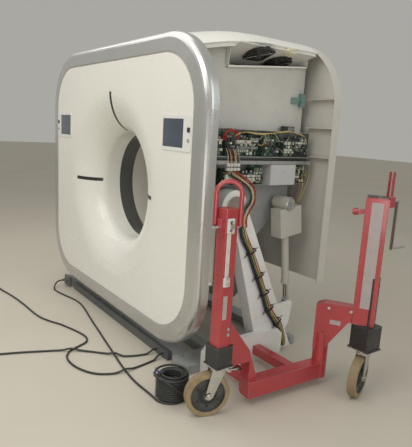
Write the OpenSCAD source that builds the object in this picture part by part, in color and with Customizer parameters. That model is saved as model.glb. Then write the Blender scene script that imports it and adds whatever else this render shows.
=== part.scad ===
// CT scanner gantry with its right side cover off, standing on its base, with a
// wheeled transport frame bolted to the right end. All sizes in millimetres.
// Origin on the floor under the isocentre, +X right seen from the front, +Y to the rear, +Z up.

/* [Gantry covers] */
// height of the isocentre and of the tilt axis above the floor
iso_height = 1067; // [1000:1:1150]
// diameter of the patient bore
bore_d = 817; // [700:1:900]
// front face of the white panel, in front of the isocentre
front_depth = 357; // [320:1:420]
// rear face of the rear cover, behind the isocentre
rear_depth = 760; // [700:1:850]
// half width of the silver band, outside
band_half_w = 1195; // [1100:1:1300]
// half height of the silver band, outside
band_half_h = 979; // [900:1:1050]
// corner radius of the silver band, outside
band_corner = 455; // [380:1:520]
// width of the silver band seen from the front
band_w = 126; // [90:1:160]
// depth of the silver band along Y
band_depth = 87; // [60:1:120]
// height of the middle of the front panel above the isocentre
panel_rise = 44; // [20:1:70]
// wall of the moulded covers
cover_wall = 6; // [4:0.5:10]
// radial size of the rounded funnel in the front cover
funnel_radial = 295; // [200:1:340]
// axial size of the rounded funnel in the front cover
funnel_axial = 200; // [140:1:240]
// half length of the dark scan window ring
window_half = 61; // [40:1:90]
// how far the roof rises behind the band
roof_rise = 72; // [0:1:110]
// distance behind the band over which the roof rises
roof_run = 520; // [300:1:700]
// how far the rear cover reaches below the isocentre
rear_cover_drop = 567; // [520:1:600]
// depth of the flange round the rear cover
rear_flange = 64; // [40:1:90]
// radial flare of the rear cover funnel
rear_flare = 190; // [120:1:260]

/* [Control panels] */
// gap between a control plate and the silver band
plate_gap = 6.5; // [3:0.5:12]
// middle of a control plate above the isocentre
plate_rise = 430; // [380:1:480]
// width of a control plate
plate_w = 315; // [280:1:330]
// height of a control plate
plate_h = 208; // [180:1:230]
// how far a control plate stands proud of the front panel
plate_proud = 4; // [2:0.5:8]
// width of the screen
screen_w = 222; // [180:1:240]
// height of the screen
screen_h = 167; // [140:1:180]
// shift of the screen from the middle of its plate, towards the bore
screen_shift = 34; // [20:1:40]
// side of the square key
key_side = 26; // [18:1:34]
// diameter of the round button
button_d = 20; // [14:1:28]

/* [Tilting frame and rotor] */
// thickness of the welded ring plate
ring_plate = 40; // [30:1:60]
// front face of the ring plate behind the isocentre
ring_plate_y = 225; // [200:1:260]
// half width of the ring plate
ring_half_w = 868; // [840:1:880]
// thickness of the side arm that carries the tilt bearing
arm_wall = 52; // [40:1:60]
// radius of the tilt bearing boss
boss_r = 92; // [70:1:98]
// radius of the tilt pin
pin_r = 50; // [35:1:60]
// running clearance round pins and rods
fit = 0.1; // [0.05:0.01:0.1]
// outer radius of the spinning drum plate
drum_r = 770; // [700:1:800]
// inner radius of the spinning drum
drum_bore_r = 452; // [440:1:470]
// thickness of the spinning drum plate
drum_plate = 28; // [20:1:40]
// inner radius of the main bearing
bearing_r = 500; // [490:1:540]
// radial size of the main bearing
bearing_wall = 60; // [40:1:80]

/* [Electronics bay] */
// outer face of the grey inner panel
bay_x = 906; // [895:1:915]
// front end of the electronics bay
bay_front = -150; // [-200:1:-120]
// rear end of the electronics bay
bay_rear = 690; // [640:1:700]
// bottom of the card rack above the isocentre
rack_rise = 119; // [113:1:133]
// height of the lower card row
row_low_h = 158; // [130:1:180]
// height of the rail between the card rows
rail_h = 30; // [20:1:40]
// height of the upper card row
row_high_h = 168; // [140:1:190]
// depth of the rack shelves along X
shelf_depth = 118; // [90:1:130]
// thickness of sheet metal
sheet = 4; // [2:0.5:6]
// top of the grey panel below the front edge of the roof
panel_drop = 153; // [125:1:185]
// size of a cooling fan
fan_d = 172; // [150:1:180]
// slope of the fan plate
fan_slope = 17; // [10:1:25]

/* [Stand] */
// inner face of a pillar from the centre line
pillar_x = 962; // [950:1:975]
// width of a pillar along X
pillar_w = 98; // [80:1:104]
// wall of a pillar
pillar_wall = 8; // [5:1:12]
// height of the base rails
base_h = 60; // [50:1:62]
// front end of the base
base_front = -300; // [-320:1:-260]
// rear end of the base
base_rear = 660; // [620:1:700]
// half width of the dark plinth
plinth_half_w = 830; // [780:1:900]
// height of the light base cover
base_cover_h = 184; // [160:1:190]
// outer face of the base cover from the centre line
base_cover_x = 1112; // [1100:1:1130]

/* [Tilt actuator] */
// distance of the upper pivot behind the tilt axis
upper_y = 485; // [460:1:510]
// distance of the upper pivot below the tilt axis
upper_drop = 7; // [0:1:20]
// distance of the lower pivot behind the tilt axis
lower_y = 590; // [575:1:610]
// height of the lower pivot
lower_z = 310; // [290:1:330]
// middle plane of the actuator
actuator_x = 1010; // [1005:1:1015]
// radius of the sliding rod
rod_r = 20; // [16:1:24]
// radius of the lower pivot pin
clevis_pin_r = 15; // [12:1:18]
// half slot across the rod at the opened lower pivot
clevis_free = 12; // [10:1:20]

/* [Transport frame] */
// front column position along X
front_x = 1475; // [1450:1:1500]
// front column position along Y
front_y = -392; // [-420:1:-370]
// rear column position along X
rear_x = 1752; // [1730:1:1780]
// rear column position along Y
rear_y = 508; // [480:1:530]
// swing hinge position along X
hinge_x = 1536; // [1520:1:1550]
// swing hinge position along Y
hinge_y = 372; // [350:1:390]
// side of the square columns
column_side = 80; // [70:1:90]
// wall of the square columns
column_wall = 6; // [4:0.5:8]
// top of the front column
front_top = 1145; // [1100:1:1200]
// top of the rear column
rear_top = 1212; // [1150:1:1250]
// bottom of the front column
front_low = 404; // [390:1:430]
// bottom of the rear column
rear_low = 436; // [420:1:450]
// underside of the castor plates
plate_low = 286; // [280:1:300]
// diameter of the castor wheels
wheel_d = 250; // [230:1:255]
// width of the castor wheels
wheel_w = 50; // [40:1:60]
// trail of the castors
trail = 55; // [45:1:65]
// height of the dolly beam
beam_h = 100; // [80:1:110]
// width of the dolly beam
beam_w = 80; // [60:1:90]
// underside of the dolly beam
beam_low = 50; // [40:1:60]

/* [Hidden] */
$fn = 96;
eps = 0.5;
bore_r = bore_d / 2;
panel_z = iso_height + panel_rise;
front_y0 = -front_depth;
band_y1 = front_y0 + band_depth;
panel_half_w = band_half_w - band_w;
panel_half_h = band_half_h - band_w;
panel_corner = band_corner - band_w;
band_top = panel_z + band_half_h;
shell_step = 5;
cover_half_w = band_half_w - shell_step;
cover_corner = band_corner - shell_step;
cover_top0 = band_top - shell_step;
rear_cover_low = iso_height - rear_cover_drop;
plate_x = panel_half_w - plate_gap - plate_w / 2;
cover_top1 = cover_top0 + roof_rise;
cover_y0 = band_y1 + 0.5;
cover_y1 = rear_depth - rear_flange;
split_angle = 35;
upper_z = iso_height - upper_drop;
rod_angle = atan2(lower_y - upper_y, upper_z - lower_z);
rod_length = sqrt(pow(lower_y - upper_y, 2) + pow(upper_z - lower_z, 2));
seat = 0.3;
rack_low = iso_height + rack_rise;
panel_top = cover_top0 - panel_drop;
rack_mid = rack_low + row_low_h;
rack_mid1 = rack_mid + rail_h;
rack_top = rack_mid1 + row_high_h;
front_normal = atan2(-0.317, 0.948);
rear_normal = atan2(0.314, 0.948);
wheel_r = wheel_d / 2;

// Shapes seen from the front, extruded along Y between two planes
module slab(y0, y1) {
  translate([0, y1, 0]) rotate([90, 0, 0]) linear_extrude(y1 - y0) children();
}

// Shapes seen from the side (Y, Z), extruded along X between two planes
module side_slab(x0, x1) {
  translate([x0, 0, 0]) rotate([90, 0, 90]) linear_extrude(x1 - x0) children();
}

// A profile (radius, y) turned round the bore axis
module bore_turn() {
  translate([0, 0, iso_height]) rotate([-90, 0, 0]) rotate_extrude($fn = 120) children();
}

// A round bar along X, Y or Z
module bar_x(r, x0, x1, y, z) {
  translate([x0, y, z]) rotate([0, 90, 0]) cylinder(r = r, h = x1 - x0);
}
module bar_y(r, y0, y1, x, z) {
  translate([x, y0, z]) rotate([-90, 0, 0]) cylinder(r = r, h = y1 - y0);
}

// A box by its two corners
module box(a, b) {
  translate(a) cube([b[0] - a[0], b[1] - a[1], b[2] - a[2]]);
}

module rounded_rect(half_w, half_h, r) {
  square([2 * half_w, 2 * (half_h - r)], center = true);
  square([2 * (half_w - r), 2 * half_h], center = true);
  for (sx = [-1, 1], sz = [-1, 1]) translate([sx * (half_w - r), sz * (half_h - r)]) circle(r = r);
}

// Front funnel: a quarter ellipse from the throat out to the flat face
function funnel_front(inset) = [for (t = [0 : 7.5 : 90])
  [bore_r + inset + (funnel_radial - inset) * (1 - cos(t)),
   front_y0 + funnel_axial - (funnel_axial - inset) * sin(t)]];

module funnel_shell(inset0, inset1, y_end) {
  f0 = funnel_front(inset0);
  f1 = funnel_front(inset1);
  n = len(f0);
  bore_turn() polygon(concat([[bore_r + inset0, y_end]], f0,
    [for (i = [n - 1 : -1 : 0]) f1[i]], [[bore_r + inset1, y_end]]));
}

// Radial openings of the positioning lights: [angle from the top, inner radius, outer radius]
light_w = 17;
lights = [[0, bore_r + 9, 631], [90, bore_r + 10, 568], [-90, bore_r + 10, 568]];

module light_cut(l, extra) {
  translate([0, 0, iso_height]) rotate([0, l[0], 0])
    box([-light_w / 2 - extra, front_y0 - 10, l[1] - extra],
        [light_w / 2 + extra, front_y0 + funnel_axial, l[2] + extra]);
}

module plate_hole_cuts(s, deep) {
  for (k = [0, 1]) let (p = key_place(k))
    bar_y(key_hole_r(k), front_y0 - 20, front_y0 + deep, s * p[0], p[1]);
}
function key_place(k) = [plate_x + plate_w / 2 - 24, iso_height + plate_rise + (k == 0 ? 22 : -38)];
function key_hole_r(k) = (k == 0 ? key_side / 2 * sqrt(2) : button_d / 2) + 2;

rim_inset = 8;
rim_wall = 6;
rim_depth = 34;
module panel_outline(inset) rounded_rect(panel_half_w - inset, panel_half_h - inset, panel_corner - inset);

module front_cover() color("white") {
  difference() {
    translate([0, 0, panel_z]) slab(front_y0, front_y0 + cover_wall) panel_outline(seat);
    bar_y(bore_r + funnel_radial + seat, front_y0 - 10, front_y0 + 30, 0, iso_height);
    for (s = [-1, 1]) plate_hole_cuts(s, 30);
  }
  translate([0, 0, panel_z]) slab(front_y0 + cover_wall, front_y0 + rim_depth) difference() {
    panel_outline(rim_inset);
    panel_outline(rim_inset + rim_wall);
  }
}

module front_funnel() color("white") difference() {
  funnel_shell(0, cover_wall, -window_half);
  for (l = lights) light_cut(l, seat);
}

module light_windows() color("dimgray") {
  for (l = lights) intersection() {
    funnel_shell(1, 5, -window_half);
    light_cut(l, 0);
  }
}

module scan_window() color("dimgray")
  bore_turn() translate([bore_r, -window_half + seat]) square([5, 2 * window_half - 2 * seat]);

// Section of the silver band: u outwards from its outer edge, v along Y
module band_section() {
  r = 46;
  polygon(concat(
    [[-band_w, front_y0 + 4], [-band_w + 10, front_y0 - 3], [-r, front_y0 + 2]],
    [for (a = [10 : 16 : 90]) [-r + r * sin(a), front_y0 + 2 + r - r * cos(a)]],
    [[0, band_y1], [-cover_wall, band_y1]],
    [for (a = [90 : -16 : 10])
      [-r + (r - cover_wall) * sin(a), front_y0 + 2 + r - (r - cover_wall) * cos(a)]],
    [[-band_w + 6.5, front_y0 + 6], [-band_w + 6.5, front_y0 + 24], [-band_w, front_y0 + 24]]));
}

module band_run(out, len) {
  translate([out, 0, -len]) linear_extrude(2 * len) band_section();
}

module silver_band() color("silver") translate([0, 0, panel_z]) {
  straight_w = band_half_w - band_corner;
  straight_h = band_half_h - band_corner;
  band_run(band_half_w, straight_h);
  mirror([1, 0, 0]) band_run(band_half_w, straight_h);
  rotate([0, -90, 0]) band_run(band_half_h, straight_w);
  rotate([0, 90, 0]) band_run(band_half_h, straight_w);
  for (mx = [0, 1], mz = [0, 1]) mirror([mx, 0, 0]) mirror([0, 0, mz])
    translate([straight_w, 0, -straight_h]) rotate([-90, 0, 0])
      rotate_extrude(angle = 90) translate([band_corner, 0]) band_section();
}

// Plates, screens and keys of the two control panels
module control_plates() color("gainsboro") for (s = [-1, 1]) difference() {
  translate([s * plate_x, 0, iso_height + plate_rise]) slab(front_y0 - plate_proud, front_y0)
    rounded_rect(plate_w / 2, plate_h / 2, 16);
  translate([s * (plate_x - screen_shift), 0, iso_height + plate_rise])
    slab(front_y0 - plate_proud - 1, front_y0 - plate_proud + 2)
      rounded_rect(screen_w / 2, screen_h / 2, 5);
  for (k = [0, 1]) let (p = key_place(k)) translate([s * p[0], 0, p[1]])
    slab(front_y0 - plate_proud - 1, front_y0 + 1)
      if (k == 0) square(key_side + 0.6, center = true); else circle(r = button_d / 2 + 0.3);
}

module screens() color("slategray") for (s = [-1, 1])
  translate([s * (plate_x - screen_shift), 0, iso_height + plate_rise])
    slab(front_y0 - plate_proud + 0.5, front_y0 - plate_proud + 2)
      rounded_rect(screen_w / 2 - 0.4, screen_h / 2 - 0.4, 4.6);

module key_cap(s) color("black") {
  p = key_place(0);
  translate([s * p[0], 0, p[1]]) slab(front_y0 - plate_proud - 4, front_y0 + 14)
    square(key_side, center = true);
}
module key_right() key_cap(1);
module key_left() key_cap(-1);

module round_button(s) color("gray") {
  p = key_place(1);
  translate([s * p[0], 0, p[1]]) slab(front_y0 - plate_proud - 5, front_y0 + 14)
    circle(r = button_d / 2);
}
module button_right() round_button(1);
module button_left() round_button(-1);

// Roof and side shells: a loft of the rounded outline from the band back to the rear cover
function roof_top(y) = cover_top0 + roof_rise * sin(90 * min(1, (y - band_y1) / roof_run));
stations = [cover_y0, -190, -100, 0, 110, 250, cover_y1 - 0.5];

// Outline of the shell at one station, inset by the wall: side is -1 or 1, angle from the top
function shell_corner(y, inset, side, a) =
  [side * (cover_half_w - cover_corner + (cover_corner - inset) * sin(a)), y,
   roof_top(y) - cover_corner + (cover_corner - inset) * cos(a)];

function roof_row(y, inset) = concat(
  [for (a = [split_angle : -7 : 0]) shell_corner(y, inset, -1, a)],
  [for (a = [0 : 7 : split_angle]) shell_corner(y, inset, 1, a)]);

function side_row(y, inset) = concat(
  [for (a = [split_angle + 0.04 : (90 - split_angle - 0.04) / 8 : 90.01]) shell_corner(y, inset, -1, a)],
  [for (a = [0 : 5 : 25]) [-(cover_half_w - cover_corner + (cover_corner - inset) * cos(a)), y,
    panel_z - band_half_h + band_corner - (cover_corner - inset) * sin(a)]]);

// A closed shell between two grids of points with the same rows
module grid_shell(outer, inner) {
  m = len(outer);
  n = len(outer[0]);
  function o(i, j) = i * n + j;
  function k(i, j) = m * n + i * n + j;
  polyhedron(
    points = [for (g = [outer, inner], row = g, p = row) p],
    faces = concat(
      [for (i = [0 : m - 2], j = [0 : n - 2]) each
        [[o(i, j), o(i, j + 1), o(i + 1, j + 1)], [o(i, j), o(i + 1, j + 1), o(i + 1, j)],
         [k(i, j), k(i + 1, j + 1), k(i, j + 1)], [k(i, j), k(i + 1, j), k(i + 1, j + 1)]]],
      [for (j = [0 : n - 2]) each
        [[o(0, j), k(0, j), k(0, j + 1)], [o(0, j), k(0, j + 1), o(0, j + 1)],
         [o(m - 1, j), k(m - 1, j + 1), k(m - 1, j)], [o(m - 1, j), o(m - 1, j + 1), k(m - 1, j + 1)]]],
      [for (i = [0 : m - 2]) each
        [[o(i, 0), k(i + 1, 0), k(i, 0)], [o(i, 0), o(i + 1, 0), k(i + 1, 0)],
         [o(i, n - 1), k(i, n - 1), k(i + 1, n - 1)], [o(i, n - 1), k(i + 1, n - 1), o(i + 1, n - 1)]]]));
}

module top_cover() color("white")
  grid_shell([for (y = stations) roof_row(y, 0)], [for (y = stations) roof_row(y, cover_wall)]);

module left_side_cover() color("white")
  grid_shell([for (y = stations) side_row(y, 0)], [for (y = stations) side_row(y, cover_wall)]);

// Rear cover: flat back with a funnel, a deep flange round three sides, and stiffening ribs
module rear_outline(inset) {
  top_z = cover_top1;
  translate([0, (top_z + rear_cover_low) / 2])
    rounded_rect(cover_half_w - inset, (top_z - rear_cover_low) / 2 - inset, cover_corner - inset);
  low = rear_cover_low + inset;
  translate([-cover_half_w + inset, low]) square([2 * (cover_half_w - inset), 500]);
}

rear_throat = window_half;
rear_funnel_run = 420;
rib_rises = [310, 509, 703];
function funnel_rear(inset) = [for (t = [0 : 10 : 90])
  [bore_r + inset + (rear_flare - inset) * (1 - cos(t)),
   rear_depth - rear_funnel_run + (rear_funnel_run - inset) * sin(t)]];

module rear_cover() color("white") {
  f0 = funnel_rear(0);
  f1 = funnel_rear(cover_wall);
  n = len(f0);
  difference() {
    slab(rear_depth - cover_wall, rear_depth) rear_outline(0);
    bar_y(bore_r + rear_flare, rear_depth - 20, rear_depth + 10, 0, iso_height);
  }
  bore_turn() polygon(concat([[bore_r, rear_throat]], f0,
    [for (i = [n - 1 : -1 : 0]) f1[i]], [[bore_r + cover_wall, rear_throat]]));
  slab(rear_depth - rear_flange, rear_depth - cover_wall) difference() {
    rear_outline(0);
    rear_outline(cover_wall + 4);
    translate([-cover_half_w + cover_wall + 4, rear_cover_low - 5])
      square([2 * (cover_half_w - cover_wall - 4), 30]);
  }
  for (m = [0, 1], rise = rib_rises) mirror([m, 0, 0])
    box([bay_x + 30, rear_depth - rear_flange + 12, iso_height + rise],
        [cover_half_w - cover_wall, rear_depth - cover_wall, iso_height + rise + cover_wall]);
}

// Welded ring plate with side arms, tilt bearing bosses and the actuator bearing
arm_x0 = ring_half_w - arm_wall / 2;
arm_x1 = arm_x0 + arm_wall;
ring_y1 = ring_plate_y + ring_plate;
ring_half_h = 760;
ring_corner = 180;
arm_rear = upper_y + 139;
upright_top = panel_top - 142;
module side_arm() {
  arm_top = rack_low - seat;
  side_slab(arm_x0, arm_x1) polygon([[-boss_r, iso_height - 47], [-boss_r, arm_top], [arm_rear, arm_top],
    [arm_rear, iso_height - 37], [arm_rear - 64, iso_height - 67],
    [ring_y1 + 60, iso_height - 267], [ring_plate_y, iso_height - 267]]);
}
module tilt_frame() color("dimgray") {
  difference() {
    translate([0, 0, iso_height]) slab(ring_plate_y, ring_y1)
      rounded_rect(ring_half_w, ring_half_h, ring_corner);
    bar_y(bearing_r - 20, ring_plate_y - 10, ring_y1 + 10, 0, iso_height);
  }
  for (m = [0, 1]) mirror([m, 0, 0]) {
    difference() {
      union() {
        side_arm();
        bar_x(boss_r, arm_x0, pillar_x - 1, 0, iso_height);
      }
      bar_x(pin_r + fit, arm_x0 - 10, pillar_x + 10, 0, iso_height);
    }
    box([arm_x0 + 4, ring_plate_y, rack_low - 20], [bay_x - sheet - seat, ring_y1, upright_top]);
    box([560, ring_y1 - 15, iso_height + ring_half_h - 27], [640, ring_y1, cover_top1 - cover_wall - seat]);
  }
  bar_x(24, arm_x1 - eps, actuator_x + 62, upper_y, upper_z);
  bar_x(34, actuator_x + 60, actuator_x + 68, upper_y, upper_z);
  box([-cover_half_w + cover_wall + seat, ring_y1 - 12, iso_height + 413],
      [-ring_half_w + 2, ring_y1, iso_height + 473]);
}

// Main bearing: outer race on the ring plate, running on the drum's hub
module main_bearing() color("silver")
  bore_turn() translate([bearing_r, ring_plate_y - 45]) square([bearing_wall, 45 - seat]);

// Spinning parts
tube_orbit = 610;
tube_r = 105;
tube_length = 250;
detector_r = 530;
detector_wall = 110;
detector_half_angle = 55;
detector_depth = 220;
generator_orbit = 600;
generator_half_w = 110;
generator_depth = 190;
drum_y1 = ring_plate_y - 60;
drum_y0 = drum_y1 - drum_plate;
module rotor_drum() color("lightsteelblue") bore_turn() union() {
  translate([drum_bore_r, drum_y0]) square([drum_r - drum_bore_r, drum_plate]);
  translate([drum_bore_r, drum_y1 - eps]) square([bearing_r - 0.1 - drum_bore_r, 58]);
  translate([drum_r - 20, drum_y0 - 60]) square([20, 61]);
}

module xray_tube() color("darkgray") translate([0, 0, iso_height]) {
  difference() {
    union() {
      bar_y(tube_r, drum_y0 - tube_length, drum_y0, 0, tube_orbit);
      box([-tube_r - 25, drum_y0 - 90, tube_orbit - tube_r], [tube_r + 25, drum_y0, tube_orbit + tube_r]);
    }
    box([-40, drum_y0 - 200, tube_orbit - tube_r - 65], [40, drum_y0 - 110, tube_orbit - tube_r + 15]);
  }
}

module detector_arc() color("steelblue") difference() {
  reach = drum_r + 130;
  bore_turn() translate([detector_r, drum_y0 - detector_depth]) square([detector_wall, detector_depth]);
  for (m = [0, 1]) translate([0, 0, iso_height]) mirror([m, 0, 0]) rotate([0, -detector_half_angle, 0])
    box([0, drum_y0 - 2 * detector_depth, -reach], [reach, drum_y1, reach]);
  box([-reach, drum_y0 - 2 * detector_depth, iso_height - 100], [reach, drum_y1, iso_height + reach]);
}

module generator_box() color("darkslategray") for (s = [-1, 1])
  translate([s * generator_orbit, 0, iso_height]) box([-generator_half_w, drum_y0 - generator_depth, -140],
    [generator_half_w, drum_y0, 180]);

// Grey inner panel with folded edges
module inner_panel() color("darkgray") {
  box([bay_x - sheet, bay_front, rack_top], [bay_x, bay_rear, panel_top]);
  for (y = [bay_front, bay_rear - sheet])
    box([bay_x - 40, y, rack_top], [bay_x - sheet, y + sheet, panel_top]);
  box([bay_x - 40, bay_front, panel_top - sheet], [bay_x - sheet, bay_rear, panel_top]);
  difference() {
    box([bay_x - 40, bay_front, rack_top], [bay_x - sheet, bay_rear, rack_top + sheet]);
    box([bay_x - 50, ring_plate_y - seat, rack_top - 1],
        [bay_x - sheet, ring_y1 + seat, rack_top + sheet + 1]);
  }
}

// White fan tray: lip, gutter and a sloped plate with two fan openings
fan_places = [[932, 215], [852, 452]];
fan_plane_x = 950;
fan_plane_z = cover_top0 - 53;
fan_drop = 20;
function fan_z(x) = fan_plane_z + tan(fan_slope) * (x - fan_plane_x);
tray_in = 740;
tray_out = 1020;
tray_front = -20;
tray_rear = 672;

module in_fan_plane(p) {
  translate([p[0], p[1], fan_z(p[0])]) rotate([0, -fan_slope, 0]) translate([0, 0, -fan_drop]) children();
}

module fan_box() color("whitesmoke") {
  lip_top = panel_top + 46;
  difference() {
    translate([0, tray_rear, 0]) rotate([90, 0, 0]) linear_extrude(tray_rear - tray_front)
      polygon([[tray_out, fan_z(tray_out)], [tray_in, fan_z(tray_in)], [tray_in, panel_top],
        [bay_x, panel_top], [bay_x, lip_top], [bay_x - sheet, lip_top], [bay_x - sheet, panel_top + sheet],
        [tray_in + sheet, panel_top + sheet], [tray_in + sheet, fan_z(tray_in) - sheet],
        [tray_out, fan_z(tray_out) - sheet - 2]]);
    for (p = fan_places) in_fan_plane(p) translate([0, 0, -30]) cylinder(r = fan_d / 2 - 2, h = 80);
  }
  for (p = fan_places) in_fan_plane(p) difference() {
    cylinder(r = fan_d / 2 + 2, h = 34);
    translate([0, 0, -1]) cylinder(r = fan_d / 2 - 2, h = 40);
  }
  for (p = fan_places) in_fan_plane(p) {
    translate([0, 0, 30]) cylinder(r = 22, h = 4);
    for (a = [45 : 90 : 359]) rotate([0, 0, a]) translate([20, -4, 30]) cube([fan_d / 2 - 21, 8, 4]);
  }
  for (y = [tray_front, tray_rear - sheet]) difference() {
    translate([0, y + sheet, 0]) rotate([90, 0, 0]) linear_extrude(sheet)
      polygon([[tray_out, fan_z(tray_out)], [tray_in, fan_z(tray_in)], [tray_in, panel_top],
        [bay_x, panel_top],
        [tray_out, fan_z(tray_out) - 60]]);
  }
}

module fan_wheel(p) color("dimgray") in_fan_plane(p) {
  cylinder(r = 38, h = 24);
  translate([0, 0, 23.5]) cylinder(r = 10, h = 6.2);
  for (a = [0 : 360 / 7 : 359]) rotate([0, 0, a]) translate([34, -1.5, 2])
    rotate([35, 0, 0]) translate([0, -2, 4]) cube([fan_d / 2 - 42, 30, 3]);
}
module fan_front() fan_wheel(fan_places[0]);
module fan_rear() fan_wheel(fan_places[1]);

// Card rack: back plate, three shelves and end cheeks
module card_rack() color("slategray") {
  x1 = bay_x + shelf_depth;
  box([bay_x - sheet, bay_front, rack_low], [bay_x, bay_rear, rack_top]);
  box([bay_x - sheet, bay_front, rack_low], [x1 - 30, bay_rear, rack_low + sheet]);
  box([bay_x - sheet, bay_front, rack_top - sheet], [x1 - 14, bay_rear, rack_top]);
  box([bay_x - sheet, bay_front, rack_mid], [x1 + 12, bay_rear, rack_mid + sheet]);
  box([x1 + 12 - sheet, bay_front, rack_mid - 18], [x1 + 12, bay_rear, rack_mid + sheet]);
  box([bay_x - sheet, bay_front, rack_mid1 - sheet], [x1, bay_rear, rack_mid1]);
  for (y = [bay_front, bay_rear - sheet]) box([bay_x - sheet, y, rack_low], [x1 - 30, y + sheet, rack_top]);
  for (y = [bay_front + 70, bay_rear - 130])
    box([bay_x - 40, y, rack_low], [bay_x - sheet + 1, y + 60, rack_top]);
}

// Circuit modules standing in the two rows: [front end, width, depth, height]
upper_modules = [[-136, 56, 88, 150], [-66, 74, 104, 128], [22, 118, 76, 118], [152, 84, 60, 140],
  [250, 92, 92, 132], [356, 62, 70, 150], [432, 96, 100, 112], [542, 130, 84, 128]];
lower_modules = [[-136, 48, 60, 140], [-72, 96, 84, 96], [38, 150, 96, 78], [202, 78, 70, 120],
  [548, 64, 90, 110], [622, 58, 72, 130]];
module card_modules() color("darkolivegreen") {
  for (m = upper_modules) {
    box([bay_x, m[0], rack_mid1], [bay_x + m[2], m[0] + m[1], rack_mid1 + m[3]]);
  }
  for (m = lower_modules) {
    box([bay_x, m[0], rack_low + sheet], [bay_x + m[2], m[0] + m[1], rack_low + sheet + m[3]]);
  }
}

// White pluggable terminals on the faces of the modules
module terminal_blocks() color("white") {
  for (i = [0 : 7]) box([bay_x + 76, 24 + i * 14, rack_mid1 + 78], [bay_x + 92, 34 + i * 14, rack_mid1 + 98]);
  for (i = [0 : 5]) box([bay_x + 96, 44 + i * 22, rack_low + 22], [bay_x + 112, 60 + i * 22, rack_low + 52]);
  box([bay_x + 84, -60, rack_low + 44], [bay_x + 118, 14, rack_low + 88]);
}

// Grey drive box on the lower row
module drive_box() color("gray") difference() {
  box([bay_x + sheet, 300, rack_low + sheet], [bay_x + 138, 530, rack_mid - 20]);
  box([bay_x + 136, 404, rack_low + 66], [bay_x + 140, 416, rack_low + 96]);
}

module panel_latch() color("cadetblue") {
  z = panel_top - 174;
  box([bay_x, bay_rear - 122, z - 22], [bay_x + 22, bay_rear - 62, z + 18]);
  box([bay_x, bay_rear - 50, z - 40], [bay_x + 34, bay_rear - 14, z + 48]);
  bar_y(9, bay_rear - 62 - eps, bay_rear - 50 + eps, bay_x + 11, z);
}

// Inclined pillars: an open channel with a round head that holds the tilt pin
function pillar_front(z) = 45 + (828 - z) * (300 - 45) / 828;
function pillar_back(z) = 176 + (913 - z) * (620 - 176) / 913;
module pillar_shape(inset) {
  circle_z = iso_height;
  translate([0, circle_z]) circle(r = 100 - inset);
  polygon([[-98 + inset, circle_z], [-60 + inset, 960], [pillar_front(828) + inset, 828],
    [pillar_front(0) + inset, 0], [pillar_back(0) - inset, 0], [pillar_back(913) - inset, 913],
    [98 - inset, circle_z]]);
}

module pillar(s) mirror([s < 0 ? 1 : 0, 0, 0]) difference() {
  union() {
    difference() {
      side_slab(pillar_x, pillar_x + pillar_w) pillar_shape(0);
      side_slab(pillar_x + pillar_wall, pillar_x + pillar_w - pillar_wall) difference() {
        pillar_shape(pillar_wall);
        translate([0, iso_height]) circle(r = pin_r + 22);
        translate([-400, 0]) square([2000, base_h + 10]);
      }
    }
    for (x = [actuator_x - 32, actuator_x + 18]) side_slab(x, x + 14) difference() {
      union() {
        translate([lower_y, lower_z]) circle(r = 34);
        polygon([[lower_y - 120, lower_z + 24], [lower_y, lower_z + 34], [lower_y + 34, lower_z],
          [lower_y + 10, lower_z - 140], [lower_y - 40, lower_z - 200]]);
      }
      translate([lower_y, lower_z]) circle(r = clevis_pin_r);
    }
    bar_x(clevis_pin_r, actuator_x - 38, actuator_x + 38, lower_y, lower_z);
  }
  bar_x(pin_r + fit, pillar_x - 20, pillar_x + pillar_w + 20, 0, iso_height);
}
module pillar_right() color("lightgray") pillar(1);
module pillar_left() color("lightgray") pillar(-1);

module tilt_pins() color("silver") for (s = [0, 1]) mirror([s, 0, 0]) {
  bar_x(pin_r, arm_x0 + 2, pillar_x + pillar_w + 6, 0, iso_height);
  bar_x(pin_r + 14, pillar_x + pillar_w + 0.2, pillar_x + pillar_w + 10, 0, iso_height);
}

// Base: two cross beams, two side rails and anchor holes
anchor_d = 18;
anchor_y = [base_front + 60, base_rear - 30];
rail_w = 84;
module base_frame() color("gray") difference() {
  union() {
    for (s = [0, 1]) mirror([s, 0, 0]) {
      box([pillar_x - 4, base_front + 4, 0], [pillar_x + pillar_w, pillar_front(base_h) - 0.3, base_h]);
      box([pillar_x - 4, pillar_back(0) + 0.3, 0], [pillar_x + pillar_w, base_rear, base_h]);
      box([pillar_x - rail_w, base_front + 4, 0], [pillar_x - 0.3, base_rear, base_h]);
    }
    box([-pillar_x + 80, base_front + plinth_depth + 0.5, 0], [pillar_x - 80, base_front + 130, base_h]);
    for (y = [[-40, 40], [base_rear - 110, base_rear]])
      box([-pillar_x + 80, y[0], 0], [pillar_x - 80, y[1], base_h]);
  }
  for (s = [-1, 1], y = anchor_y) translate([s * (pillar_x - rail_w / 2), y, -1])
    cylinder(d = anchor_d, h = base_h + 2);
}

// Dark front plinth
plinth_depth = 33.5;
module plinth() color("dimgray") difference() {
  box([-plinth_half_w, base_front, 0], [plinth_half_w, base_front + plinth_depth, base_h]);
  box([-plinth_half_w + 6, base_front + 5, 6], [plinth_half_w - 6, base_front + 60, base_h - 6]);
  for (p = [lead_b_route[0], lead_c_route[0]])
    bar_y(lead_r + seat, base_front - 5, base_front + 20, p[0], p[2]);
}

// Light side covers of the base
module base_cover() color("lightgray") for (s = [0, 1]) mirror([s, 0, 0]) difference() {
  side_slab(pillar_x + pillar_w + 0.3, base_cover_x) polygon([[-200, 0], [-200, base_cover_h - 40],
    [-160, base_cover_h], [430, base_cover_h], [470, base_cover_h - 40], [470, 0]]);
  side_slab(pillar_x + pillar_w - 1, base_cover_x - 5) polygon([[-195, -1], [-195, base_cover_h - 43],
    [-157, base_cover_h - 5], [427, base_cover_h - 5], [465, base_cover_h - 43], [465, -1]]);
}

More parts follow.
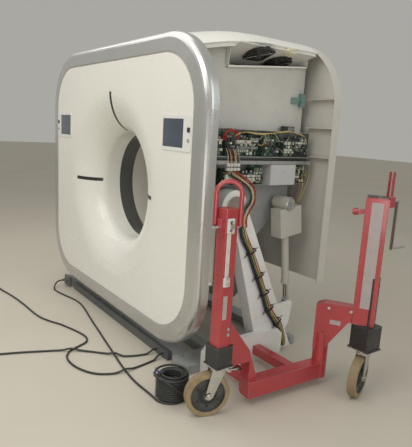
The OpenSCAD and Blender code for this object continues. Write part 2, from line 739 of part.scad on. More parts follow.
// Connectors at the left end of the plinth
inlet_x = -1000;
module power_inlet() color("gray") {
  difference() {
    box([inlet_x, base_front - 22, 0], [inlet_x + 120, base_front + 3.5, 92]);
    for (i = [0 : 2]) bar_y(15, base_front - 30, base_front - 12, inlet_x + 22 + i * 38, 58);
  }
  for (i = [1, 2]) bar_y(14, base_front - 58, base_front - 12, inlet_x + 22 + i * 38, 58);
}

// Wiring harness down the outer face of the pillar
harness_r = 20;
harness_x = pillar_x + pillar_w + harness_r + 0.3;
harness_route = [for (q = [[60, 930], [92, 850], [147, 762], [232, 589], [318, 410], [356, 330], [420, 246],
  [470, 190], [506, 120], [530, 30]]) [harness_x, q[0], q[1]]];

// Tube swept along a route: rings are square to the path, and no part of it runs along the across vector
function unit(v) = v / norm(v);
function tangent(p, i) = unit(p[min(i + 1, len(p) - 1)] - p[max(i - 1, 0)]);
module tube(p, r, sides, across) {
  n = len(p);
  ring = [for (i = [0 : n - 1]) let (t = tangent(p, i), u = unit(cross(t, across)), w = cross(t, u))
    [for (k = [0 : sides - 1]) p[i] + r * (u * cos(360 * k / sides) + w * sin(360 * k / sides))]];
  polyhedron(points = [for (q = ring, v = q) v],
    faces = concat([[for (k = [sides - 1 : -1 : 0]) k]],
      [for (i = [0 : n - 2], k = [0 : sides - 1])
        [i * sides + k, i * sides + (k + 1) % sides, (i + 1) * sides + (k + 1) % sides, (i + 1) * sides + k]],
      [[for (k = [0 : sides - 1]) (n - 1) * sides + k]]));
}

module pillar_harness() color("saddlebrown") tube(harness_route, harness_r, 12, [1, 0, 0]);

// Tilt actuator, drawn hanging from its upper pivot
module at_actuator() {
  translate([actuator_x, upper_y, upper_z]) rotate([rod_angle, 0, 0]) children();
}
module actuator_housing() color("gainsboro") at_actuator() difference() {
  union() {
    bar_x(46, -74, 56, 0, 0);
    box([-48, -84, -232], [48, 118, -30]);
    translate([0, 0, -585]) cylinder(r = rod_r + 7, h = 400);
    translate([0, 0, -592]) cylinder(r = rod_r + 12, h = 24);
  }
  bar_x(24 + fit, -90, 70, 0, 0);
  translate([0, 0, -600]) cylinder(r = rod_r + fit, h = 510);
}
module actuator_rod() color("silver") at_actuator() difference() {
  union() {
    translate([0, 0, -rod_length + clevis_free + 26])
      cylinder(r = rod_r, h = rod_length - clevis_free - 26 - 236);
    bar_x(clevis_free + 28, -12, 12, 0, -rod_length);
    box([-12, -rod_r, -rod_length], [12, rod_r, -rod_length + clevis_free + 46]);
  }
  for (s = [-1, 1]) bar_x(clevis_pin_r + 7, -20, 20, s * (clevis_free - 2), -rod_length);
  box([-20, -clevis_free + 2, -rod_length - clevis_pin_r - 7],
    [20, clevis_free - 2, -rod_length + clevis_pin_r + 7]);
}

// Transport frame: beam between the front column and the swing hinge, with two arms to the base
beam_angle = atan2(hinge_x - front_x, hinge_y - front_y);
beam_length = norm([hinge_x - front_x, hinge_y - front_y]);
hinge_pin_r = 24;
col_face = front_y + column_side / 2 + 0.3;
beam_start = front_y + trail + wheel_d / 2 + 12;
gusset_low = plate_low - 10;
leg_clear = front_y + 64;
hinge_r = 46;
module dolly_beam() color("firebrick") difference() {
  union() {
    translate([front_x, front_y, beam_low]) rotate([0, 0, -beam_angle])
      box([-beam_w / 2, beam_start - front_y, 0], [beam_w / 2, beam_length - hinge_pin_r - 4, beam_h]);
    translate([hinge_x, hinge_y, beam_low]) cylinder(r = hinge_r, h = beam_h);
    translate([hinge_x, hinge_y, beam_low + beam_h - eps]) cylinder(r = hinge_pin_r, h = 214);
    for (y = [-120, 200]) box([base_cover_x + 0.3, y, beam_low], [front_x + 20, y + 60, beam_low + 60]);
    side_slab(front_x - 38, front_x + 38) polygon([[leg_clear, gusset_low], [leg_clear, front_low + 4],
      [col_face, front_low + 4], [col_face, 520], [col_face + 9, 520],
      [col_face + 150, 340], [beam_start + 76, beam_low + beam_h - 18], [beam_start + 76, beam_low + 10],
      [beam_start + 4, beam_low + 10], [beam_start + 4, gusset_low]]);
  }
  side_slab(front_x - 30, front_x + 30) polygon([
    [leg_clear + 9, gusset_low + 9], [leg_clear + 9, front_low + 13],
    [col_face + 9, front_low + 13], [col_face + 9, 560],
    [col_face + 152, 352], [col_face + 260, 170], [beam_start + 66, gusset_low + 9]]);
}

// Square column with a slot in its front face for the stowed crank
column_corner = 8;
module column(x, y, z0, z1) {
  s = column_side / 2;
  difference() {
    union() {
      translate([x, y, z0]) linear_extrude(z1 - z0) rounded_rect(s, s, column_corner);
      children();
    }
    translate([x, y, z0 - 1]) linear_extrude(z1 - z0 - 7) rounded_rect(s - column_wall, s - column_wall, 4);
  }
}
module front_column() color("firebrick") {
  column(front_x, front_y, front_low, front_top);
  translate([front_x, front_y - column_side / 2 - 5, front_top - 96]) cube([36, 12, 88], center = true);
  box([front_x - column_side / 2 - 20, front_y - 20, 600],
      [front_x - column_side / 2 + eps, front_y + 30, 660]);
}

// Loop handle over the front column
handle_tube_r = 12;
handle_rise = 135;
handle_turn = 53;
handle_grip = 90;
module loop_handle() color("crimson") translate([front_x, front_y, front_top]) {
  flat = column_side / 2 - column_corner;
  across = flat * (sin(handle_turn) + cos(handle_turn));
  sleeve_r = handle_tube_r + 0.4;
  w = across + sqrt(across * across - 2 * flat * flat + pow(sleeve_r + column_corner + 0.3, 2));
  rotate([0, 0, handle_turn]) {
    for (s = [-1, 1]) translate([s * w, 0, -handle_grip])
      cylinder(r = sleeve_r, h = handle_rise + handle_grip + 6 - w);
    translate([0, 0, handle_rise - w]) rotate([90, 0, 0]) rotate_extrude(angle = 180)
      translate([w, 0]) circle(r = handle_tube_r);
  }
}

// Jack crank: shaft, arm and grip, hanging down; turned about Y
module crank_arm(len, grip) {
  bar_y(9, -26, 44, 0, 0);
  box([-9, 30, -len], [9, 40, 6]);
  bar_y(8, 30, 40 + grip, 0, -len);
}
module front_crank() color("darkgray")
  translate([front_x, front_y - column_side / 2 - 26, front_top - 96]) mirror([0, 1, 0]) {
    bar_y(9, -14.7, 34, 0, 0);
    box([-11, 16, -300], [11, 26, 8]);
    bar_y(7, 16, 34, 0, -296);
  }
crank_z = 1180;
module rear_crank() color("silver")
  translate([rear_x, rear_y + column_side / 2 + 74, crank_z]) crank_arm(290, 130);

// Jack legs: an inner tube with a black block and a castor plate
module leg(x, y, z_col, block) {
  s = column_side / 2 - column_wall - 0.6;
  translate([x, y, z_col - 0.5]) linear_extrude(300) difference() {
    rounded_rect(s, s, 4);
    rounded_rect(s - 5, s - 5, 2);
  }
  translate([x, y, plate_low + 8]) linear_extrude(z_col - plate_low - 8 - seat)
    rounded_rect(block / 2, block / 2, 8);
  translate([x, y, plate_low]) linear_extrude(8.5) rounded_rect(block / 2 + 8, block / 2 + 4, 6);
}
module front_leg() color("black") leg(front_x, front_y, front_low, 108);
module rear_leg() color("black") leg(rear_x, rear_y, rear_low, 130);

// Castor fork: swivel head, two plates and the axle, trailing along local -Y
module fork(x, y, turn) translate([x, y, 0]) rotate([0, 0, turn]) {
  difference() {
    union() {
      translate([0, 0, plate_low - 24]) cylinder(r = 44, h = 23.6);
      for (s = [-1, 1]) mirror([s < 0 ? 1 : 0, 0, 0]) side_slab(wheel_w / 2 + 5, wheel_w / 2 + 10)
        polygon([[-40, plate_low - 8], [40, plate_low - 8], [-trail + 22, wheel_r - 14],
          [-trail, wheel_r - 24],
          [-trail - 22, wheel_r - 10]]);
      for (s = [0, 1]) mirror([s, 0, 0]) side_slab(wheel_w / 2 + 5, wheel_w / 2 + 10)
        polygon([[30, plate_low - 8], [30, plate_low - 16], [brake_y - 8, brake_z - 8],
          [brake_y + 8, brake_z - 8],
          [brake_y + 8, brake_z + 6], [40, plate_low - 8]]);
      box([-wheel_w / 2 - 10, -40, plate_low - 16], [wheel_w / 2 + 10, 40, plate_low - 8]);
    }
    bar_x(10, -60, 60, -trail, wheel_r);
    bar_x(5 + fit, -60, 60, brake_y, brake_z);
  }
  bar_x(9.9, -wheel_w / 2 - 16, wheel_w / 2 + 16, -trail, wheel_r);
}
module front_fork() color("silver") fork(front_x, front_y, front_normal);
module rear_fork() color("silver") fork(rear_x, rear_y, rear_normal);

module castor_wheel(x, y, turn) translate([x, y, 0]) rotate([0, 0, turn])
  translate([0, -trail, wheel_r]) rotate([0, 90, 0]) rotate_extrude() {
    difference() {
      translate([10, -wheel_w / 2]) square([wheel_r - 10 - 4, wheel_w]);
      for (s = [-1, 1]) translate([34, s * wheel_w / 2 - (s > 0 ? 8 : 0)]) square([wheel_r - 66, 8]);
    }
    translate([wheel_r - 6, -wheel_w / 2 + 5]) square([6, wheel_w - 10]);
    translate([10, -wheel_w / 2 - 4.5]) square([16, wheel_w + 9]);
  }
module front_wheel() color("tan") castor_wheel(front_x, front_y, front_normal);
module rear_wheel() color("tan") castor_wheel(rear_x, rear_y, rear_normal);

// Castor brake pedal hinged on the fork head
brake_y = 56;
brake_z = 262;
module brake(x, y, turn) translate([x, y, 0]) rotate([0, 0, turn]) {
  bar_x(5, -wheel_w / 2 - 14, wheel_w / 2 + 14, brake_y, brake_z);
  box([-22, brake_y, brake_z - 4], [22, brake_y + 62, brake_z + 3]);
}
module front_brake() color("silver") brake(front_x, front_y, front_normal);
module rear_brake() color("silver") brake(rear_x, rear_y, rear_normal);

// Swing arm: a wedge plate box from the hinge knuckle to the rear column
arm_angle = atan2(rear_x - hinge_x, rear_y - hinge_y);
arm_length = norm([rear_x - hinge_x, rear_y - hinge_y]);
knuckle_low = beam_low + beam_h + 0.3;
arm_end = arm_length - column_side / 2 - 14.3;
module swing_arm() color("firebrick") difference() {
  union() {
    translate([hinge_x, hinge_y, knuckle_low]) cylinder(r = hinge_r, h = 196);
    translate([hinge_x, hinge_y, 0]) rotate([0, 0, -arm_angle]) side_slab(-34, 34)
      polygon([[0, knuckle_low + 60], [-hinge_r, knuckle_low + 90], [-hinge_r, rear_low + 84],
        [0, rear_low + 104],
        [arm_end, rear_low + 104], [arm_end, rear_low + 8], [150, rear_low + 2]]);
  }
  translate([hinge_x, hinge_y, knuckle_low - 1]) cylinder(r = hinge_pin_r + fit, h = 220);
}

module rear_column() color("firebrick") {
  column(rear_x, rear_y, rear_low, rear_top)
    translate([rear_x, rear_y, 0]) rotate([0, 0, -arm_angle])
      box([-34, -column_side / 2 - 14, rear_low + 4], [34, -column_side / 2 + 4, rear_low + 104]);
  box([rear_x - 30, rear_y + 39.5, crank_z - 34], [rear_x + 30, rear_y + 88, crank_z + 30]);
  for (x = [-16, 10]) box([rear_x + x, rear_y + 52, crank_z + 29], [rear_x + x + 6, rear_y + 76, 1352]);
  box([rear_x - 20, rear_y - 88, 1084], [rear_x + 20, rear_y - 39.5, 1136]);
}

// Loose leads. Points are on the floor unless they rise to a connector.
lead_r = 7;
lead_z = lead_r;
lead_over = 3 * lead_r + 0.4;
lead_a_route = [[-940, -358.3, 58], [-940, -380, 58], [-933, -414, 53], [-914, -444, 34], [-884, -463, 13],
  [-850, -470, lead_z], [-760, -462, lead_z], [-640, -436, lead_z], [-520, -408, lead_z],
  [-390, -404, lead_z], [-250, -424, lead_z], [-100, -452, lead_z], [60, -480, lead_z],
  [210, -504, lead_z], [335, -526, lead_z],
  [470, -548, lead_z], [600, -570, lead_z], [730, -592, lead_z], [863, -609, lead_z], [980, -616, lead_z],
  [1070, -612, lead_z], [1140, -608.5, lead_z], [1200, -607.9, lead_z]];
lead_a_tail = [[1010, -296.3, 30], [1010, -312, 30], [1014, -332, 26], [1024, -349, 18], [1040, -362, 10],
  [1062, -369, lead_z], [1092, -371, lead_z], [1125, -371, lead_z], [1185, -381, lead_z],
  [1256, -413.5, lead_z]];
module lead_a() color("dimgray") {
  tube(lead_a_route, lead_r, 8, [0, 0, 1]);
  tube(lead_a_tail, lead_r, 8, [0, 0, 1]);
}

coil_place = [1208, -505];
coil_r_in = 54;
coil_r_out = 96;
coil_h = 140;
module floor_coil() color("black") translate([coil_place[0], coil_place[1], 0])
  rotate_extrude() translate([coil_r_in, 0]) square([coil_r_out - coil_r_in, coil_h]);

lead_b_route = [[771, -298, 30], [771, -318, 30], [774, -336, 27], [779, -353, 19], [785, -371, 10],
  [791, -390, lead_z], [812, -500, lead_z], [822, -560, 11],
  [825, -606, lead_over], [823, -652, 11], [808, -706, lead_z], [760, -780, lead_z],
  [680, -830, lead_z], [580, -858, lead_z], [470, -852, lead_z],
  [390, -800, lead_z], [350, -720, lead_z], [310, -650, lead_z], [230, -622, lead_z], [120, -640, lead_z],
  [20, -670, lead_z], [-70, -700, lead_z], [-170, -750, lead_z], [-290, -790, lead_z], [-440, -806, lead_z],
  [-600, -816, lead_z], [-760, -832, lead_z], [-920, -856, lead_z], [-1050, -882, lead_z],
  [-1180, -891.8, lead_z], [-1290, -891.8, lead_z]];
module lead_b() color("dimgray") tube(lead_b_route, lead_r, 8, [0, 0, 1]);

lead_c_route = [[690, -298, 30], [690, -318, 30], [690, -336, 27], [689, -353, 19], [687, -371, 10],
  [684, -390, lead_z], [671, -450, lead_z], [643, -515, lead_z], [620, -540, 11],
  [591, -568, lead_over], [560, -598, 11], [520, -634, lead_z], [470, -684, lead_z],
  [416, -749, 11], [387, -794, lead_over], [363, -838, 11],
  [338, -884, lead_z], [290, -1000, lead_z], [250, -1100, lead_z],
  [214, -1207, lead_z], [178.6, -1309.2, lead_z]];
module lead_c() color("dimgray") tube(lead_c_route, lead_r, 8, [0, 0, 1]);

// Coil of six turns and the plug that lies on it: [middle x, middle y, angle where the plug starts]
coil_places = [[-1290, -990, 190], [270, -1345, 258.6]];
turn_r_in = 49;
turn_r_out = 91;
turns_h = 4 * lead_r;
plug_r = 11;
plug_length = 44;
module lead_coils() color("black") for (c = coil_places) translate([c[0], c[1], 0])
  rotate_extrude() translate([turn_r_in, 0]) square([turn_r_out - turn_r_in, turns_h]);
module lead_plugs() color("dimgray") for (c = coil_places)
  translate([c[0], c[1], turns_h + plug_r + seat]) rotate([0, 0, c[2]])
    bar_y(plug_r, 0, plug_length, (turn_r_in + turn_r_out) / 2, 0);

front_cover();
front_funnel();
silver_band();
scan_window();
light_windows();
control_plates();
screens();
top_cover();
left_side_cover();
rear_cover();
tilt_frame();
main_bearing();
inner_panel();
fan_box();
card_rack();
card_modules();
terminal_blocks();
drive_box();
panel_latch();
rotor_drum();
xray_tube();
detector_arc();
generator_box();
fan_front();
fan_rear();
key_right();
button_right();
key_left();
button_left();
actuator_housing();
actuator_rod();
base_frame();
plinth();
pillar_right();
pillar_left();
tilt_pins();
base_cover();
power_inlet();
pillar_harness();
dolly_beam();
front_column();
loop_handle();
front_crank();
front_leg();
front_fork();
front_wheel();
front_brake();
swing_arm();
rear_column();
rear_crank();
rear_leg();
rear_fork();
rear_wheel();
rear_brake();
lead_a();
floor_coil();
lead_b();
lead_c();
lead_coils();
lead_plugs();
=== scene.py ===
import bpy, bmesh, math, random
from mathutils import Matrix, Vector, noise as mnoise
from mathutils.bvhtree import BVHTree


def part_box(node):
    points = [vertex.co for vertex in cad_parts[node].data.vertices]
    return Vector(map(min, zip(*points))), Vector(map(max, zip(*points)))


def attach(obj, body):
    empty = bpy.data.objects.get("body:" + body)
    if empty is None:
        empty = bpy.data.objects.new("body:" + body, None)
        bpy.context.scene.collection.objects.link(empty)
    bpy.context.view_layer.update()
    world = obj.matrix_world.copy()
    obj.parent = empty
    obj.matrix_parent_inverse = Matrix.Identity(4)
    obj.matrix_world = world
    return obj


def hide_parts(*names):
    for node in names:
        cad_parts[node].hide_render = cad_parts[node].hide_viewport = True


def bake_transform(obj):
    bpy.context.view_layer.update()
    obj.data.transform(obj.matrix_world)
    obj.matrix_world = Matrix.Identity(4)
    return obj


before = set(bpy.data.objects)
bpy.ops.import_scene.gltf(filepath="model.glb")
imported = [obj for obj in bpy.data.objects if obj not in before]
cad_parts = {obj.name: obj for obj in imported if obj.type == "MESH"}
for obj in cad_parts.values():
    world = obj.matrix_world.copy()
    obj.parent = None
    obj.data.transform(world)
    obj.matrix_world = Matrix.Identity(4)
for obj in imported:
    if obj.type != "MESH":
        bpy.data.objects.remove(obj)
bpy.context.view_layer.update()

random.seed(7)
scene = bpy.context.scene
scene.view_settings.view_transform = "Standard"

# the wires' and the leads' routes are written in mm
MM = 0.001
X, Y, UP = Vector((1, 0, 0)), Vector((0, 1, 0)), Vector((0, 0, 1))

# camera, fitted to the photo
CAM_PLACE = Vector((3.354, -1.938, 1.532))
CAM_LENS, CAM_SENSOR, CAM_REACH = 39.15, 36.0, 100
CAM_YAW, CAM_PITCH, CAM_ROLL = 0.92717754, 0.19248536, 0.0575985


def link(name, data):
    o = bpy.data.objects.new(name, data)
    scene.collection.objects.link(o)
    return o


def make_camera():
    data = bpy.data.cameras.new("camera")
    data.lens = CAM_LENS
    data.sensor_width = CAM_SENSOR
    data.sensor_fit = "AUTO"
    data.clip_end = CAM_REACH
    cam = link("camera", data)
    level = math.cos(CAM_PITCH)
    fwd = Vector((-math.sin(CAM_YAW) * level, math.cos(CAM_YAW) * level, -math.sin(CAM_PITCH)))
    right = fwd.cross(UP).normalized()
    up = right.cross(fwd)
    x = right * math.cos(CAM_ROLL) + up * math.sin(CAM_ROLL)
    y = up * math.cos(CAM_ROLL) - right * math.sin(CAM_ROLL)
    m = Matrix((x, y, -fwd)).transposed().to_4x4()
    m.translation = CAM_PLACE
    cam.matrix_world = m
    scene.camera = cam


make_camera()


# shader nodes
def feed(n, inputs):
    """Links or sets inputs of a node: an output is linked; a number, vector or colour is set."""
    for key, value in inputs.items():
        socket = n.inputs[key]
        if hasattr(value, "links"):
            n.id_data.links.new(value, socket)
        elif isinstance(value, (int, float)):
            socket.default_value = value
        else:
            socket.default_value = (*value, 1)[:len(socket.default_value)]
    return n


def node(nt, kind, **inputs):
    return feed(nt.nodes.new("ShaderNode" + kind), inputs)


def material(name):
    m = bpy.data.materials.new(name)
    m.use_nodes = True
    nt = m.node_tree
    nt.nodes.clear()
    bsdf = node(nt, "BsdfPrincipled")
    node(nt, "OutputMaterial", Surface=bsdf.outputs[0])
    return m, nt, bsdf


def coords(nt):
    return node(nt, "TexCoord").outputs["Object"]


def noise(vec, scale, detail=4.0, rough=0.55):
    n = node(vec.id_data, "TexNoise", Vector=vec, Scale=scale, Detail=detail, Roughness=rough)
    return n.outputs["Fac"]


def ramp(fac, stops):
    r = node(fac.id_data, "ValToRGB", Fac=fac)
    els = r.color_ramp.elements
    while len(els) < len(stops):
        els.new(0.5)
    for e, (position, c) in zip(els, stops):
        e.position = position
        e.color = (c, c, c, 1) if isinstance(c, (int, float)) else (*c, 1)
    return r.outputs[0]


def mix(fac, a, b):
    m = node(fac.id_data, "Mix")
    m.data_type = "RGBA"
    return feed(m, {0: fac, 6: a, 7: b}).outputs[2]


def mathn(op, a, b):
    m = node((a if hasattr(a, "links") else b).id_data, "Math")
    m.operation = op
    return feed(m, {0: a, 1: b}).outputs[0]


def times(a, b):
    return mathn("MULTIPLY", a, b)


def vector_math(op, result, *values):
    m = node(values[0].id_data, "VectorMath")
    m.operation = op
    return feed(m, dict(enumerate(values))).outputs[result]


def bump(bsdf, height, strength, dist):
    b = node(bsdf.id_data, "Bump", Strength=strength, Distance=dist, Height=height)
    feed(bsdf, {"Normal": b.outputs[0]})


EDGE_R, EDGE_GAIN = 0.004, 6.0


def edges(nt):
    """1 near convex and concave edges, 0 on flats."""
    bevel, flat = node(nt, "Bevel", Radius=EDGE_R).outputs[0], node(nt, "NewGeometry").outputs["Normal"]
    dot = vector_math("DOT_PRODUCT", "Value", bevel, flat)
    return times(mathn("SUBTRACT", 1.0, dot), EDGE_GAIN)


def paint(name, color, rough=0.35, metallic=0.0, spread=0.1, scale=3.0, dirt=None, worn=None,
          grain=0.0, fine=400.0, coat=0.0):
    """Painted or moulded surface, mottled and with uneven gloss. dirt and worn: a colour and an amount."""
    m, nt, b = material(name)
    v = coords(nt)
    col = ramp(noise(v, scale), [(0.3, [c * (1 - spread) for c in color]),
                                 (0.7, [c * (1 + spread) for c in color])])
    if dirt:
        spots = ramp(noise(v, scale * 5, 8.0, 0.7), [(0.5, 0.0), (0.72, 1.0)])
        col = mix(times(spots, dirt[1]), col, dirt[0])
    if worn:
        chips = ramp(noise(v, 60, 6.0, 0.7), [(0.42, 0.0), (0.62, 1.0)])
        bare = times(times(edges(nt), chips), worn[1])
        col = mix(mathn("MINIMUM", bare, 1.0), col, worn[0])
    gloss = ramp(noise(v, scale * 2.5, 6.0), [(0.3, max(0.02, rough - 0.06)), (0.75, rough + 0.08)])
    feed(b, {"Base Color": col, "Metallic": metallic, "Roughness": gloss})
    if coat:
        feed(b, {"Coat Weight": coat, "Coat Roughness": 0.12})
    if grain:
        bump(b, noise(v, fine, 2.0), grain, 0.0006)
    return m


# how fine the lines of a machined metal are, across and along them
LINES_ACROSS, LINES_ALONG = 260.0, 5.0


def brushed(name, color, rough=0.3, axis=2, spread=0.08):
    """Machined or plated metal with fine lines along one axis."""
    m, nt, b = material(name)
    stretch = [LINES_ACROSS] * 3
    stretch[axis] = LINES_ALONG
    lines = noise(node(nt, "Mapping", Vector=coords(nt), Scale=stretch).outputs[0], 3.0, 3.0)
    blots = ramp(noise(coords(nt), 14.0, 5.0), [(0.35, 0.0), (0.7, 1.0)])
    feed(b, {"Base Color": mix(blots, [c * (1 - spread) for c in color], color), "Metallic": 1.0,
             "Roughness": ramp(lines, [(0.3, rough - 0.08), (0.7, rough + 0.12)])})
    bump(b, lines, 0.12, 0.0004)
    return m


def set_mat(name, mat):
    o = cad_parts[name]
    for i in range(max(1, len(o.material_slots))):
        if i < len(o.data.materials):
            o.data.materials[i] = mat
        else:
            o.data.materials.append(mat)


# paints and metals
white = paint("white_shell", (0.86, 0.855, 0.80), 0.28, spread=0.02, scale=1.2, coat=0.25,
              dirt=((0.70, 0.67, 0.60), 0.06), grain=0.04, fine=300)
silver = paint("silver_paint", (0.59, 0.595, 0.585), 0.30, metallic=0.75, spread=0.03, scale=2.0,
               grain=0.05, fine=700, coat=0.3)
window = paint("dark_window", (0.085, 0.09, 0.09), 0.10, scale=5, coat=0.4)
slot_black = paint("slot_black", (0.03, 0.03, 0.028), 0.35, scale=12)
light_window = paint("light_window", (0.03, 0.03, 0.028), 0.25, scale=8, coat=0.4)
panel_grey = paint("panel_grey", (0.80, 0.80, 0.78), 0.38, spread=0.02, grain=0.10, fine=900)
bay_grey = paint("bay_grey", (0.60, 0.59, 0.55), 0.55, spread=0.06, scale=2.2,
                 dirt=((0.45, 0.43, 0.38), 0.35), grain=0.05)
fan_white = paint("white_metal", (0.84, 0.83, 0.78), 0.40, spread=0.03, scale=4,
                  dirt=((0.62, 0.58, 0.50), 0.18), grain=0.05)
rack_steel = paint("rack_steel", (0.46, 0.47, 0.465), 0.38, metallic=0.6, spread=0.12, scale=6,
                   dirt=((0.2, 0.19, 0.17), 0.3))
latch_green = paint("latch_green", (0.19, 0.32, 0.30), 0.42, metallic=0.2, scale=12,
                    worn=((0.50, 0.52, 0.48), 0.6))
box_grey = paint("box_grey", (0.54, 0.54, 0.545), 0.45, spread=0.05, scale=6, dirt=((0.3, 0.3, 0.3), 0.2),
                 grain=0.12, fine=500)
frame_grey = paint("frame_grey", (0.33, 0.34, 0.34), 0.50, spread=0.08, dirt=((0.16, 0.15, 0.14), 0.35))
rotor_metal = brushed("bare_aluminium", (0.62, 0.63, 0.64), 0.34)
detector = paint("detector_dark", (0.16, 0.18, 0.21), 0.45, metallic=0.3, scale=8)
black = paint("black_plastic", (0.025, 0.025, 0.025), 0.42, spread=0.15, scale=10,
              grain=0.08, fine=600)
key_dark = paint("key_dark", (0.03, 0.03, 0.035), spread=0.15, scale=20)
key_grey = paint("key_grey", (0.38, 0.39, 0.39), scale=20)
actuator_paint = paint("actuator_paint", (0.54, 0.525, 0.475), 0.38, spread=0.04, scale=5,
                       dirt=((0.40, 0.36, 0.30), 0.25), worn=((0.5, 0.5, 0.48), 0.4))
plinth_dark = paint("plinth_dark", (0.10, 0.11, 0.11), 0.50, spread=0.15, scale=4,
                    dirt=((0.25, 0.24, 0.22), 0.4))
pillar_paint = paint("pillar_paint", (0.84, 0.845, 0.82), 0.36, spread=0.03, scale=2,
                     dirt=((0.46, 0.44, 0.40), 0.22), worn=((0.5, 0.5, 0.5), 0.3))
inlet_grey = paint("inlet_grey", (0.16, 0.165, 0.16), 0.45, spread=0.12, scale=14)
harness_base = paint("harness", (0.10, 0.05, 0.035), 0.45, spread=0.3, scale=30)
red = paint("red_paint", (0.42, 0.042, 0.050), 0.30, scale=5, dirt=((0.22, 0.05, 0.04), 0.45),
            worn=((0.50, 0.36, 0.33), 0.8), coat=0.35)
black_paint = paint("black_paint", (0.03, 0.03, 0.03), 0.38, spread=0.2, scale=9,
                    dirt=((0.20, 0.18, 0.16), 0.25), worn=((0.35, 0.34, 0.32), 0.6))
zinc = brushed("zinc", (0.66, 0.66, 0.63), spread=0.15)
steel = brushed("bare_steel", (0.60, 0.60, 0.585), 0.26, 0)
rod_steel = brushed("rod_steel", (0.62, 0.62, 0.60), 0.2)
tan = paint("wheel_tan", (0.56, 0.41, 0.235), 0.55, spread=0.08, scale=14, dirt=((0.24, 0.19, 0.14), 0.5))
tie_violet = paint("tie_violet", (0.10, 0.075, 0.26), 0.45, scale=20)
lead_black = paint("lead_black", (0.035, 0.037, 0.036), 0.50, spread=0.2, scale=20)
board = paint("circuit_dark", (0.05, 0.085, 0.06), 0.45, spread=0.3, scale=16, dirt=((0.02, 0.02, 0.02), 0.6))
terminal = paint("terminal_white", (0.74, 0.74, 0.66), 0.42, spread=0.04, scale=20)
foam_mat = paint("foam", (0.74, 0.70, 0.48), 0.80, spread=0.2, scale=30, grain=0.3, fine=300)
screen_glass = paint("screen_glass", (0.055, 0.075, 0.11), 0.08, spread=0.25, coat=0.6)
rear_inside = paint("rear_shell", (0.62, 0.60, 0.545), 0.42, spread=0.04, scale=2, coat=0.15,
                    dirt=((0.45, 0.42, 0.36), 0.2))

for mat, names in (
        (white, "front_cover front_funnel top_cover left_side_cover"), (rear_inside, "rear_cover"),
        (silver, "silver_band"), (window, "scan_window"), (light_window, "light_windows"),
        (panel_grey, "control_plates"), (screen_glass, "screens"), (frame_grey, "tilt_frame base_frame"),
        (steel, "main_bearing tilt_pins"), (bay_grey, "inner_panel"), (fan_white, "fan_box"),
        (rack_steel, "card_rack"), (board, "card_modules"), (terminal, "terminal_blocks"),
        (box_grey, "drive_box generator_box"), (latch_green, "panel_latch"),
        (rotor_metal, "rotor_drum xray_tube"), (detector, "detector_arc"), (black, "fan_front fan_rear"),
        (key_dark, "key_right key_left"), (key_grey, "button_right button_left"),
        (actuator_paint, "actuator_housing"), (rod_steel, "actuator_rod"), (plinth_dark, "plinth"),
        (pillar_paint, "pillar_right pillar_left base_cover"), (inlet_grey, "power_inlet lead_plugs"),
        (harness_base, "pillar_harness"), (tan, "front_wheel rear_wheel"),
        (red, "dolly_beam front_column loop_handle swing_arm rear_column"),
        (zinc, "front_crank front_fork front_brake rear_crank rear_fork rear_brake"),
        (black_paint, "front_leg rear_leg"), (lead_black, "lead_a floor_coil lead_b lead_c lead_coils")):
    for name in names.split():
        set_mat(name, mat)


# meshes and curves
def add(name, data, mat, body):
    """Adds a mesh or curve that rides on a body."""
    o = link(name, data)
    if mat:
        data.materials.append(mat)
    if body:
        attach(o, body)
    return o


def mesh_of(name, bm):
    me = bpy.data.meshes.new(name)
    bm.to_mesh(me)
    bm.free()
    return me


def shade_smooth(me):
    for p in me.polygons:
        p.use_smooth = True


def finish(name, bm, mat, body="gantry"):
    bmesh.ops.recalc_face_normals(bm, faces=bm.faces)
    return add(name, mesh_of(name, bm), mat, body)


def piece(name, mat, body, make, *jobs):
    """A piece to which make adds one shape for each job."""
    bm = bmesh.new()
    for job in jobs:
        make(bm, *job)
    return finish(name, bm, mat, body)


def tubes(name, paths, r, mat, body, res=3):
    """Round tubes along paths in metres, as one curve."""
    cu = bpy.data.curves.new(name, "CURVE")
    cu.dimensions = "3D"
    cu.bevel_depth = r
    cu.bevel_resolution = res
    cu.use_fill_caps = True
    for path in paths:
        points = cu.splines.new("POLY").points
        points.add(len(path) - 1)
        for q, v in zip(points, path):
            q.co = (*v, 1)
    return add(name, cu, mat, body)


def smooth_path(points, n):
    """Catmull-Rom through the points, n samples a span."""
    out = []
    p = [Vector(q) for q in points]
    p = [2 * p[0] - p[1]] + p + [2 * p[-1] - p[-2]]
    for a, b, c, d in zip(p, p[1:], p[2:], p[3:]):
        for k in range(n):
            t = k / n
            out.append(0.5 * ((2 * b) + (c - a) * t + (2 * a - 5 * b + 4 * c - d) * t * t
                              + (3 * b - a - 3 * c + d) * t ** 3))
    out.append(p[-2].copy())
    return out


def across(path, i):
    """Direction of a path at its point i, and the direction across it, square to X."""
    t = (path[min(i + 1, len(path) - 1)] - path[max(i - 1, 0)]).normalized()
    return t, t.cross(X).normalized()


def beside(route, shift):
    """Path in metres beside a route in mm. shift(i) gives the way across it and along X."""
    out = []
    for i, p in enumerate(route):
        u, x = shift(i)
        out.append((p + across(route, i)[1] * u + X * x) * MM)
    return out


def turns(n):
    """Cosine and sine of n even steps round a circle."""
    return [(math.cos(math.tau * k / n), math.sin(math.tau * k / n)) for k in range(n)]


def rect(a0, a1, b0, b1):
    return (a0, b0), (a1, b0), (a1, b1), (a0, b1)


def skin(bm, rows, loop=False):
    """Faces between rows of points, each row an outline. The end rows are capped, or joined in a loop."""
    rows = [[bm.verts.new(p) for p in row] for row in rows]
    for a, b in zip(rows, rows[1:] + rows[:1] if loop else rows[1:]):
        for k in range(len(a)):
            m = (k + 1) % len(a)
            bm.faces.new((a[k], a[m], b[m], b[k]))
    if not loop:
        bm.faces.new(rows[0])
        bm.faces.new(rows[-1])


